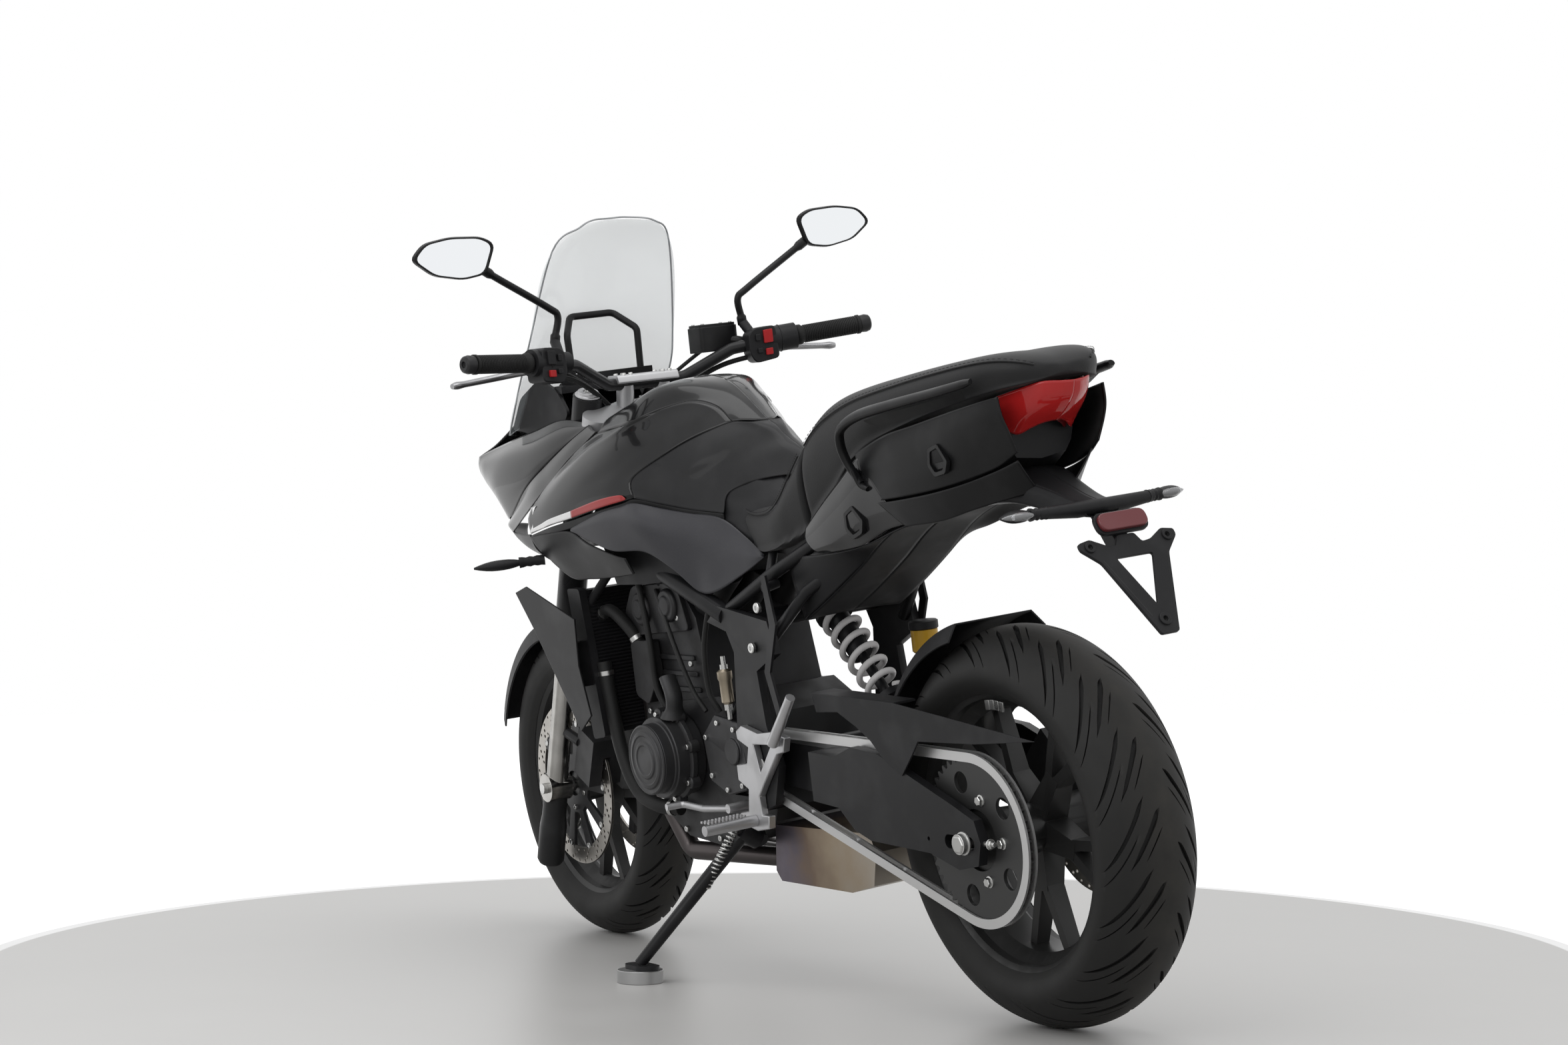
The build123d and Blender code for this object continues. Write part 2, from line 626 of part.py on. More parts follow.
def grab_rails():
    """A rail on each side of the passenger, joined to the tail."""
    path = [(200, 124, 880), (222, 136, 915), (212, 148, 955), (150, 150, 976), (0, 146, 995),
            (-133, 131, 1013)]
    rail = fuse(tube(path, 9, 14), rod((60, 105, 935), (60, 147, 985), 8))
    return both(rail - body(TAIL, -0.3) - body(PILLION_SEAT, -0.3))


def tail_light():
    """A wrapped lamp that narrows towards the rear."""
    side = [(-110, 982.6), (-146, 987.2), (-200, 1000), (-212, 985), (-192, 935), (-152, 905), (-110, 905)]
    plan = Polyline((-100, 0), (-100, 72), (-125, 70), (-184, 45), (-215, 18), (-215, 0))
    above = extrude(Pos(0, 0, 890) * make_face([plan, Line((-215, 0), (-100, 0))]), amount=125)
    return plate(side, -80, 80) & fuse(*both(above))


def plate_plane():
    """The leaning plane that the number plate lies on, its second direction up the plate."""
    return Plane(origin=PLATE_TOP, x_dir=(0, 1, 0), z_dir=Vector(0, 1, 0).cross(PLATE_TOP - PLATE_LOW))


def plate_bracket():
    """The arm under the tail with its cross bar and the forked plate holder."""
    outline = [(-40, 775), (-215, 798), (-272, 780), (-286, 738), (-300, 742), (-292, 790), (-225, 828),
               (-140, 862)]
    arm = plate([*outline, (-30, 820)], -26, 26)
    arm -= body(TAIL, -0.3)
    bar = rod((-226, -92, 812), (-226, 92, 812), 9)
    lean = plate_plane()
    size = (PLATE_LOW - PLATE_TOP).length
    right = [(16, -size), (62, -34), (88, -9), (88, 2), (66, 6), (40, -8), (24, -10), (16, 6)]
    fork = make_face(Polyline(*right, *[(-y, z) for y, z in reversed(right)], close=True))
    hole = make_face(Polyline((-34, -30), (0, -size + 46), (34, -30), close=True))
    fork = fork - hole
    for s in (-1, 1):
        fork -= Pos(s * PLATE_HOLE[0], PLATE_HOLE[1]) * Circle(PLATE_HOLE_R)
    holder = extrude(lean * fork, amount=3, both=True)
    return fuse(arm, bar, holder)


def indicators():
    """Four indicators on their stalks."""
    rear = rod((-226, 94.0, 812), (-213, 160, 813), 9, 12)
    front = rod((1168, 180, 752), (1222, 315, 752), 9, 12) - body(COWL, -0.3)
    return both(rear) + both(front)


# ---------------------------------------------------------------- rear suspension
def swingarm():
    """Two arms from the pivot tube, joined ahead of the tyre, with slotted axle ends outside the chain."""
    end = [
        (345, 428), (290, 447), (215, 440), (20, 372), (-32, 352), (-44, 318), (-32, 282), (20, 272),
        (95, 292), (260, 298), (305, 312), (345, 345),
    ]
    root = [(600, 430), (560, 436), (330, 428), (330, 350), (345, 345), (560, 362), (600, 372)]
    sides = []
    for s in (1, -1):
        low, high = sorted((s * ARM_IN, s * ARM_OUT))
        sides.append(plate(end, low, high))
        low, high = sorted((s * 84, s * ARM_OUT))
        sides.append(plate([(420, 432), (330, 428), (330, 350), (345, 345), (420, 351)], low, high))
        low, high = sorted((s * 84, s * 112))
        sides.append(plate(root, low, high))
    brace = plate([(420, 432), (345, 430), (335, 400), (345, 350), (420, 352)], -90, 90)
    lug = fuse(*[plate([(380, 425), (345, 425), (335, 470), (360, 470)], s - 4, s + 4) for s in (-24, 24)])
    pivot = disc_at(PIVOT_X, -112, 112, PIVOT_Z, 26)
    arm = fuse(*sides, brace, lug, pivot)
    arm -= disc_at(PIVOT_X, -160, 160, PIVOT_Z, 9.05)
    arm -= disc_at(BOBBIN[0], -160, 160, BOBBIN[1], BOBBIN_R)
    for x in (-16, 40):
        arm -= disc_at(x, -160, 160, REAR_AXLE_Z, AXLE_R + 1)
    slot = [(40, REAR_AXLE_Z + AXLE_R + 1), (-16, REAR_AXLE_Z + AXLE_R + 1),
            (-16, REAR_AXLE_Z - AXLE_R - 1), (40, REAR_AXLE_Z - AXLE_R - 1)]
    reach = CHAIN_GAP + CHAIN_PLATE + CHAIN_ROOM
    run = extrude(belt(CHAIN_HALF + CHAIN_ROOM), amount=2 * reach, dir=(0, 1, 0))
    run -= extrude(belt(-CHAIN_HALF - CHAIN_ROOM), amount=2 * reach, dir=(0, 1, 0))
    return arm - plate(slot, 130, 160) - plate(slot, -160, -130) - Pos(0, CHAIN_Y - reach, 0) * run


def rear_axle():
    """The axle with its spacers, nuts and adjuster blocks."""
    shaft = disc_at(0, -160, 160, REAR_AXLE_Z, AXLE_R)
    hub_half = CHAIN_Y - TOOTH_T / 2
    parts = [shaft]
    for s, inside in ((1, hub_half + 0.3), (-1, hub_half - 20 + 0.3)):
        parts.append(disc_at(0, s * inside, s * (ARM_IN - 0.2), REAR_AXLE_Z, 14.5))
        parts.append(disc_at(0, s * (ARM_OUT + 0.1), s * (ARM_OUT + 12), REAR_AXLE_Z, 16))
    return fuse(*parts)


def shock_absorber():
    """The monoshock: damper body, spring and eyes."""
    top, low = (567, 0, 678), (348, 0, 458)
    a, b = Vector(*top), Vector(*low)

    def point(share):
        p = a + (b - a) * share
        return (p.X, p.Y, p.Z)

    damper = rod(point(0.04), point(0.5), 20)
    shaft = rod(point(0.45), point(0.95), 9)
    collar = rod(point(0.17), point(0.2), 34)
    cup = rod(point(0.82), point(0.86), 34)
    axis = b - a
    turns, wire_r = 6, 5.5
    height = axis.length * 0.62 - 2 * (wire_r + 0.3)
    coil = Helix(height / turns, height - 0.1, 27)
    wire = sweep(Plane(origin=coil @ 0, z_dir=coil % 0) * Circle(wire_r), path=coil)
    place = Plane(origin=a + axis * (0.2 + (wire_r + 0.3) / axis.length), z_dir=axis)
    spring = place * wire
    eyes = [disc_at(x, -19, 19, z, 13) for x, _, z in (top, low)]
    return fuse(damper, shaft, collar, cup, *eyes), spring


def chain_guard():
    """The guard over the upper run of the chain."""
    outline = [
        (385, 532), (150, 525), (-215, 483), (-60, 471), (90, 467), (112, 443), (145, 410), (190, 432),
        (225, 462), (262, 482), (312, 503), (375, 500),
    ]
    side = plate(outline, ARM_OUT + 0.3, ARM_OUT + 3.3)
    top = plate([(385, 532), (150, 525), (150, 521), (385, 528)], 108, ARM_OUT + 3.3)
    return fuse(side, top)


def rear_hugger():
    """The mudguard that hugs the front of the rear tyre."""
    clear = REAR_TYRE[0] + 14
    band = [
        (clear, -72), (clear, 72), (clear - 26, 92), (clear - 24, 95), (clear + 3, 74), (clear + 3, -74),
        (clear - 24, -95), (clear - 26, -92),
    ]
    face = make_face(Polyline(*band, close=True))
    arc = at_rear(revolve(face, Axis.Y, 62).rotate(Axis.Y, -78))
    tabs = [plate([(312, 402), (345, 402), (345, 440), (318, 440)],
                  *sorted((s * 58, s * 68))) for s in (1, -1)]
    return fuse(arc, *tabs) - swingarm()


# ---------------------------------------------------------------- foot controls and stand
def footpeg_hangers():
    """The plates that carry the footrests, with a window in each."""
    outline = [
        (624, 458), (606, 468), (555, 457), (510, 462), (470, 454), (478, 430), (500, 425), (552, 372),
        (572, 350), (570, 318), (548, 318), (552, 296), (590, 290), (640, 300), (640, 318), (612, 322),
        (604, 360), (634, 374), (634, 400), (600, 404), (590, 432), (622, 444),
    ]
    hole = [(572, 438), (515, 440), (560, 390)]
    side = plate(outline, PLATE_OUT + 0.3, PLATE_OUT + 14) - plate(hole, 140, 170)
    return both(side)


def footpegs():
    """The riders' pegs folded down and the passengers' pegs folded up."""
    face = PLATE_OUT + 14.3
    rider = rod((592, face, 308), (592, face + 100, 308), 10, 9)
    passenger = rod((488, face + 12, 446), (408, face + 16, 527), 10, 8)
    pin = rod((492, face, 446), (492, face + 12, 446), 7)
    return both(rider) + both(fuse(passenger, pin))


def foot_controls():
    """The gear lever and the brake lever."""
    pieces = []
    for s, z in ((1, 325), (-1, 296)):
        lever = tube([(660, s * 168, z), (745, s * 172, z - 6), (796, s * 182, z), (800, s * 214, z)], 6,
                     10)
        pieces.append(fuse(lever, rod((660, s * 118.3, z), (660, s * 174, z), 8)))
    return pieces


def subframe_tubes(grow=0.0):
    """The two pairs of bent tubes that run back from the pivot plates into the tail."""
    tubes = []
    for s in (1, -1):
        upper = tube([(640, s * 133, 662), (520, s * 126, 715), (392, s * 105, 770), (300, s * 80, 800)],
                     11 + grow, 60)
        lower = tube([(520, s * 133, 612), (430, s * 110, 690), (330, s * 75, 745)], 10 + grow, 60)
        tubes += [upper, lower]
    return fuse(*tubes)


def subframe():
    """The tubes with the locks and struts they carry."""
    sides = [subframe_tubes()]
    for s in (1, -1):
        strut = plate([(500, 720), (486, 722), (470, 640), (505, 560), (478, 470), (492, 466), (522, 560),
                       (490, 640)],
                      *sorted((s * 148.4, s * 153)))
        tie = rod((500, s * 122, 705), (495, s * 151, 700), 8)
        rest = rod((520, s * 124, 712), (540, s * 90, 775), 8)
        sides += [strut, tie, rest]
    bridge = disc_at(330, -84, 84, 770, 9)
    cross = disc_at(290, -150, 150, 795, 9) & body(TAIL, PANEL + 0.3)
    frame = fuse(*sides, bridge, cross) - body(RIDER_SEAT, -0.3) - main_frame() - footpeg_hangers()[0]
    return frame - footpeg_hangers()[1]


def side_stand():
    """The stand leg, its pivot lugs and foot."""
    base = Vector(*STAND_PIVOT)
    foot_x, foot_y = STAND_FOOT
    level = (GROUND + PUCK_H - UP_Y * foot_y) / UP_Z
    foot = Vector(foot_x, foot_y, level + 9)
    axis = Vector(*STAND_AXIS)
    boss = rod(base - axis * 9, base + axis * 9, 17)
    leg = rod(base, foot, STAND_LEG_R + 2, STAND_LEG_R - 1)
    for s in (-1, 1):
        leg -= rod(base + axis * (s * 9), base + axis * (s * 22), 26)
    up = Vector(0, UP_Y, UP_Z)
    ground = Plane(origin=(foot_x, foot_y, level), x_dir=(1, 0, 0), z_dir=up)
    sole = extrude(ground * Pos(0, -4) * SlotOverall(74, 44), amount=8)
    puck = extrude(ground * Circle(PUCK_R), amount=-PUCK_H)
    bore = rod(base - axis * 20, base + axis * 20, 6.05)
    return fuse(boss, leg, sole) - bore, puck


def stand_bracket():
    """The lugs on the crankcase that hold the stand's pivot bolt."""
    base = Vector(*STAND_PIVOT)
    axis = Vector(*STAND_AXIS)
    block = rod(base - axis * 30, base - axis * 9.3, 17)
    arm = rod(base - axis * 34, (705, 100, 285), 15)
    pin = fuse(rod(base - axis * 20, base + axis * 9.3, 6), rod(base + axis * 9.3, base + axis * 15, 11))
    return fuse(block, arm, pin) - engine()


# ---------------------------------------------------------------- steering assembly
def steering():
    """Everything that turns with the handlebar, apart from the front wheel."""
    nodes = {}
    stem = rod(along(LOWER_YOKE - 14), along(UPPER_YOKE + 14), STEM_R)
    axis = Vector(-RAKE_SIN, 0, RAKE_COS)

    def yoke(height, thick):
        base = Plane(origin=along(height - thick / 2), x_dir=(0, 1, 0), z_dir=axis)
        ahead = FORK_OFFSET
        web = make_face(Polyline((-FORK_Y, ahead - 26), (-40, -30), (40, -30), (FORK_Y, ahead - 26),
                                 (FORK_Y, ahead + 22), (-FORK_Y, ahead + 22), close=True))
        lugs = [Pos(s * FORK_Y, ahead) * Circle(34) for s in (-1, 1)]
        return extrude(base * (web + lugs[0] + lugs[1]), amount=thick)

    holes = [rod(along(LOWER_YOKE - 60, FORK_OFFSET, s * FORK_Y),
                 along(UPPER_YOKE + 60, FORK_OFFSET, s * FORK_Y),
                 OUTER_R + 0.05) for s in (-1, 1)]
    risers = [rod(along(UPPER_YOKE + 8, 6, s * 38), (1083, s * 38, 1050), 16) for s in (-1, 1)]
    nodes["yokes"] = fuse(stem, yoke(LOWER_YOKE, 30), yoke(UPPER_YOKE, 26), *risers)
    for hole in holes:
        nodes["yokes"] -= hole

    outers, inners = [], []
    for s in (-1, 1):
        outers.append(rod(along(640, FORK_OFFSET, s * FORK_Y),
                          along(UPPER_YOKE + 30, FORK_OFFSET, s * FORK_Y), OUTER_R))
        outers[-1] -= rod(along(600, FORK_OFFSET, s * FORK_Y), along(900, FORK_OFFSET, s * FORK_Y),
                          INNER_R + 0.05)
        inner = rod(along(AXLE_ALONG, FORK_OFFSET, s * FORK_Y), along(890, FORK_OFFSET, s * FORK_Y),
                    INNER_R)
        low, high = sorted((s * 82, s * 128))
        lug = disc_at(WHEELBASE, low, high, FRONT_AXLE_Z, 27)
        inners.append(fuse(inner, lug) - disc_at(WHEELBASE, -140, 140, FRONT_AXLE_Z, AXLE_R + 0.05))
    nodes["fork_outers"] = outers
    nodes["fork_inners"] = inners
    spans = [sorted((s * (FRONT_DISC_Y + 3), s * 81.7)) for s in (-1, 1)]
    spacers = [disc_at(WHEELBASE, *span, FRONT_AXLE_Z, 14) for span in spans]
    nodes["front_axle"] = fuse(disc_at(WHEELBASE, -136, 136, FRONT_AXLE_Z, AXLE_R), *spacers)

    clear = FRONT_TYRE[0] + 12
    band = [(clear, -62), (clear, 62), (clear - 30, 74), (clear - 28, 77), (clear + 3, 65),
            (clear + 3, -65),
            (clear - 28, -77), (clear - 30, -74)]
    arc = revolve(make_face(Polyline(*band, close=True)), Axis.Y, 120).rotate(Axis.Y, -140)
    arc = Pos(WHEELBASE, 0, FRONT_AXLE_Z) * arc
    stays = [rod(along(600, FORK_OFFSET + 2, s * 70),
                 along(600, FORK_OFFSET + 2, s * (FORK_Y - INNER_R - 0.2)), 12) for s in (-1, 1)]
    nodes["front_mudguard"] = fuse(arc, *stays)

    calipers = []
    for s in (-1, 1):
        centre = Vector(WHEELBASE - 118, s * FRONT_DISC_Y, FRONT_AXLE_Z + 62)
        block = Pos(centre) * Box(62, 66, 96).rotate(Axis.Y, -25)
        slot = Cylinder(FRONT_DISC_R + 6, 16).rotate(Axis.X, 90)
        block -= Pos(WHEELBASE, s * FRONT_DISC_Y, FRONT_AXLE_Z) * slot
        bracket = rod((WHEELBASE - 100, s * (FRONT_DISC_Y + 28), FRONT_AXLE_Z + 90),
                      along(AXLE_ALONG + 125, FORK_OFFSET, s * FORK_Y), 10)
        bracket -= rod(along(AXLE_ALONG, FORK_OFFSET, s * FORK_Y), along(800, FORK_OFFSET, s * FORK_Y),
                       INNER_R + 0.2)
        calipers.append(fuse(block, bracket))
    nodes["front_calipers"] = calipers

    left = [(956, 388, 1114), (988, 253, 1105), (1030, 160, 1094), (1072, 80, 1053), (1083, 38, 1050)]
    path = left + [(x, -y, z) for x, y, z in reversed(left)]
    nodes["handlebar"] = tube(path, BAR_R, 30)
    room = tube(path, BAR_R + 0.15, 30)
    nodes["yokes"] -= room

    grips, switches, levers, mirrors, glass = [], [], [], [], []
    for s in (-1, 1):
        tip, root = Vector(956, s * 388, 1114), Vector(988, s * 253, 1105)
        run = root - tip

        def on(share):
            p = tip + run * share
            return (p.X, p.Y, p.Z)

        grip = fuse(rod(on(-0.02), on(0.86), GRIP_R), rod(on(-0.16), on(-0.02), GRIP_R + 1))
        grips.append(grip - room)
        switch = fuse(rod(on(0.88), on(1.28), 24), rod(on(1.30), on(1.48), 19))
        joint = rod(on(1.27), on(1.31), 17)
        perch = rod(on(1.39), (1050, s * 226, 1094), 12)
        stem_boss = rod(on(1.40), (1036, s * 192, 1140), 9)
        control = fuse(switch, joint, perch, stem_boss) - room
        lever = tube([(1046, s * 226, 1095), (1064, s * 290, 1088), (1050, s * 396, 1080)], 6.5, 60)
        stem = tube([(1036, s * 192, 1140), (1030, s * 184, 1187), (1014, s * 334, 1280)], 6.5, 22)
        switches.append(control)
        levers.append(lever - control)
        mirrors.append(stem - control)
        glass.append(mirror_head(s))
    nodes["grips"] = grips
    nodes["hand_controls"] = switches
    nodes["levers"] = levers
    heads = [g[0] for g in glass]
    nodes["mirrors"] = [fuse(m, h) for m, h in zip(mirrors, heads)]
    nodes["mirror_glass"] = [g[1] for g in glass]

    reservoir = Pos(1076, -150, 1140) * Box(52, 74, 36)
    neck = rod((1040, -215, 1096), (1076, -160, 1130), 9)
    nodes["brake_reservoir"] = fuse(reservoir, neck) - switches[0] - mirrors[0] - room
    return {name: [steered(s) for s in shape] if isinstance(shape, list) else steered(shape)
            for name, shape in nodes.items()}


def mirror_head(s):
    """A mirror housing and its glass on one side."""
    centre = Vector(1000, s * 385, 1300)
    face = Plane(origin=centre, x_dir=(0, 1, 0.12 * s), z_dir=(-1, 0, -0.1))
    corners = [(-78, -30), (-62, 26), (-20, 38), (38, 34), (82, 8), (60, -22), (10, -36), (-50, -40)]
    outline = Polyline(*[(s * u, v) for u, v in corners], close=True)
    shape = make_face(outline)
    back = loft([face * shape, (face.offset(-30)) * shape.scale(0.55)])
    glass = extrude(face * shape.scale(0.93), amount=2.5)
    return back, Location(face.z_dir * 0.2) * glass


# ---------------------------------------------------------------- brakes at the rear
def rear_brake():
    """The rear caliper on its bracket and the fluid reservoir."""
    y = -(CHAIN_Y - TOOTH_T / 2 - 20 + DISC / 2)
    caliper = Pos(88, y, REAR_AXLE_Z + 88) * Box(84, 60, 52).rotate(Axis.Y, 45)
    caliper -= Pos(0, y, REAR_AXLE_Z) * Cylinder(REAR_DISC_R + 6, 16).rotate(Axis.X, 90)
    arm = [(-18, 330), (18, 292), (112, 372), (112, 420), (60, 425)]
    bracket = plate(arm, -ARM_IN + 0.3, -ARM_IN + 9) - disc_at(0, -140, -100, REAR_AXLE_Z, 14.8)
    return fuse(caliper, bracket)


def node_shapes():
    """Every sub-part by name, upright."""
    shock, spring = shock_absorber()
    leg, puck = side_stand()
    nodes = {
        "main_frame": main_frame(),
        "subframe": subframe(),
        "engine": engine(),
        "engine_covers": engine_covers(),
        "radiator": radiator(),
        "radiator_shrouds": radiator_shrouds(),
        "exhaust": exhaust(),
        "fuel_tank": fuel_tank(),
        "tank_side_panels": tank_side_panels(),
        "lower_side_panels": lower_side_panels(),
        "nose_fairing": nose_fairing(),
        "headlights": headlights(),
        "windscreen": windscreen(),
        "screen_adjuster": screen_adjuster(),
        "instrument_panel": instrument_panel(),
        "rider_seat": body(RIDER_SEAT),
        "pillion_seat": body(PILLION_SEAT),
        "tail_panels": tail_panels(),
        "grab_rails": grab_rails(),
        "tail_light": tail_light(),
        "plate_bracket": plate_bracket(),
        "indicators": indicators(),
        "swingarm": swingarm(),
        "rear_axle": rear_axle(),
        "shock_absorber": shock,
        "shock_spring": spring,
        "chain_guard": chain_guard(),
        "rear_hugger": rear_hugger(),
        "drive_chain": drive_chain(),
        "footpeg_hangers": footpeg_hangers(),
        "footpegs": footpegs(),
        "foot_controls": foot_controls(),
        "rear_brake": rear_brake(),
        "stand_bracket": stand_bracket(),
        "side_stand": leg,
        "stand_puck": puck,
    }
    nodes.update(steering())
    nodes.update(front_wheel())
    nodes.update(rear_wheel())
    return nodes


def solids_of(shape):
    """The solids of a shape or of a list of shapes."""
    shapes = shape if isinstance(shape, (list, tuple)) else [shape]
    return [solid for one in shapes for solid in one.solids()]


def resting_place(nodes):
    """The move from the upright machine to the leaning one, with the origin under the middle of its box."""
    lean = Location((0, 0, 0), (-LEAN, 0, 0))
    box = Compound(children=[lean * s for shape in nodes.values() for s in solids_of(shape)]).bounding_box()
    centre = box.center()
    return Location((-centre.X, -centre.Y, -GROUND)) * lean


def main():
    """Writes one STEP file for each node."""
    os.makedirs("parts", exist_ok=True)
    nodes = node_shapes()
    place = resting_place(nodes)
    for name, shape in nodes.items():
        export_step(Compound(children=[place * s for s in solids_of(shape)]), f"parts/{name}.step")


if __name__ == "__main__":
    main()
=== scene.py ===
import json
import logging
import math
from dataclasses import dataclass, field
from enum import Enum
from typing import Iterable, Optional, Sequence

import bpy
import bmesh
import numpy as np
from mathutils import Matrix, Vector
from mathutils.geometry import delaunay_2d_cdt

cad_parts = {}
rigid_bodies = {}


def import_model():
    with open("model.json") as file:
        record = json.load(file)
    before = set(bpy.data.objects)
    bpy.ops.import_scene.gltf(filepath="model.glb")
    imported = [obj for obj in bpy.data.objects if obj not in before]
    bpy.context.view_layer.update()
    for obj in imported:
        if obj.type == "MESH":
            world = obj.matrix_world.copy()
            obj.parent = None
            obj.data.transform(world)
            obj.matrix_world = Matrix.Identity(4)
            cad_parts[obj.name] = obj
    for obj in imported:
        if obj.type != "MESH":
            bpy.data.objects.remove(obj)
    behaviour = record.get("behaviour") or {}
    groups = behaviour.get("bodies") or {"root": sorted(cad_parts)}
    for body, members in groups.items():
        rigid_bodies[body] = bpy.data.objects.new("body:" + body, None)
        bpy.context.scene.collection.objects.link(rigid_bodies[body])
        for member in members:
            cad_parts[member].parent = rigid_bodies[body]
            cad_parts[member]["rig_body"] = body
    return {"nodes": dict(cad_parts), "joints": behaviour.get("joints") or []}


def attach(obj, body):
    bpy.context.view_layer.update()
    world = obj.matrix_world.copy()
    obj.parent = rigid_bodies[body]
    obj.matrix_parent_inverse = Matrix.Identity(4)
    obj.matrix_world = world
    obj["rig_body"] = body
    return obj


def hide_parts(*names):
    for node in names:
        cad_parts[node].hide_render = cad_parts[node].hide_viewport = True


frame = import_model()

log = logging.getLogger("motorcycle")
logging.basicConfig(level=logging.INFO, format="%(message)s")

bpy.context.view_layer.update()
MM = 0.001
Point = tuple[float, float, float]
Flat = tuple[float, float]
Colour = tuple[float, float, float, float]


# ---------------------------------------------------------------- places
class Body(Enum):
    """The moving bodies that pieces ride on."""

    CHASSIS = "chassis"
    STEERING = "steering"
    FRONT_WHEEL = "front_wheel"
    REAR_WHEEL = "rear_wheel"
    STAND = "side_stand"


@dataclass(frozen=True)
class Layout:
    """The machine's main sizes in millimetres, upright: X forward, Y left, Z up, from under the rear axle."""

    wheelbase: float = 1418.0
    rake: float = 23.1
    trail: float = 97.1
    lean: float = 7.9
    steer: float = -2.0
    rear_axle: float = 315.0
    front_axle: float = 299.687
    fork_ahead: float = 28.4
    fork_side: float = 105.0

    def joint(self, name: str) -> dict:
        """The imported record's joint of that name."""
        return next(j for j in frame["joints"] if j["name"] == name)

    def upright(self) -> Matrix:
        """The move from the upright machine's millimetres to the leaning row frame's metres."""
        turn = Matrix.Rotation(-math.radians(self.lean), 4, "X") @ Matrix.Scale(MM, 4)
        axle = Vector(self.joint("rear_wheel_spin")["pos_m"])
        shift = axle - turn @ Vector((0.0, 0.0, self.rear_axle))
        return Matrix.Translation(shift) @ turn

    def steered(self) -> Matrix:
        """The same move for what turns with the handlebar, drawn straight ahead."""
        foot = Vector((self.wheelbase + self.trail, 0.0, 0.0))
        turn = Matrix.Rotation(math.radians(self.steer), 4, Vector(self.fork_up()))
        return self.upright() @ Matrix.Translation(foot) @ turn @ Matrix.Translation(-foot)

    def place(self, body: Body) -> Matrix:
        """The move for pieces of one body."""
        return self.steered() if body in (Body.STEERING, Body.FRONT_WHEEL) else self.upright()

    def fork_up(self) -> Point:
        """The direction up the steering axis."""
        rake = math.radians(self.rake)
        return (-math.sin(rake), 0.0, math.cos(rake))

    def along(self, height: float, ahead: float = 0.0, y: float = 0.0) -> Point:
        """A point from its height along the steering axis and its distance ahead of it."""
        rake = math.radians(self.rake)
        x = self.wheelbase + self.trail - height * math.sin(rake) + ahead * math.cos(rake)
        return (x, y, height * math.cos(rake) + ahead * math.sin(rake))


LAYOUT = Layout()


# ---------------------------------------------------------------- shader maths
class Value:
    """A shader socket that Python's operators work on, with a number or another Value on the other side."""

    def __init__(self, shader: "Shader", socket: bpy.types.NodeSocket) -> None:
        """Wraps an output socket of a shader's node."""
        self.shader = shader
        self.socket = socket

    def _math(self, operation: str, *others: "Value | float") -> "Value":
        """Adds one Math node fed by this value and the others."""
        return self.shader.node("ShaderNodeMath", {"operation": operation}, dict(enumerate((self, *others))))

    def __add__(self, other: "Value | float") -> "Value":
        """This value plus another."""
        return self._math("ADD", other)

    __radd__ = __add__

    def __mul__(self, other: "Value | float") -> "Value":
        """This value times another."""
        return self._math("MULTIPLY", other)

    __rmul__ = __mul__

    def __sub__(self, other: "Value | float") -> "Value":
        """This value less another."""
        return self._math("SUBTRACT", other)

    def __rsub__(self, other: float) -> "Value":
        """A number less this value."""
        return self.shader.node("ShaderNodeMath", {"operation": "SUBTRACT"}, {0: other, 1: self})

    def __truediv__(self, other: "Value | float") -> "Value":
        """This value divided by another."""
        return self._math("DIVIDE", other)

    def clamped(self) -> "Value":
        """This value held between nought and one."""
        return self._math("MAXIMUM", 0.0)._math("MINIMUM", 1.0)

    def above(self, edge: float, width: float) -> "Value":
        """Nought below an edge and one above it, over a soft width."""
        return ((self - (edge - width / 2)) / width).clamped()


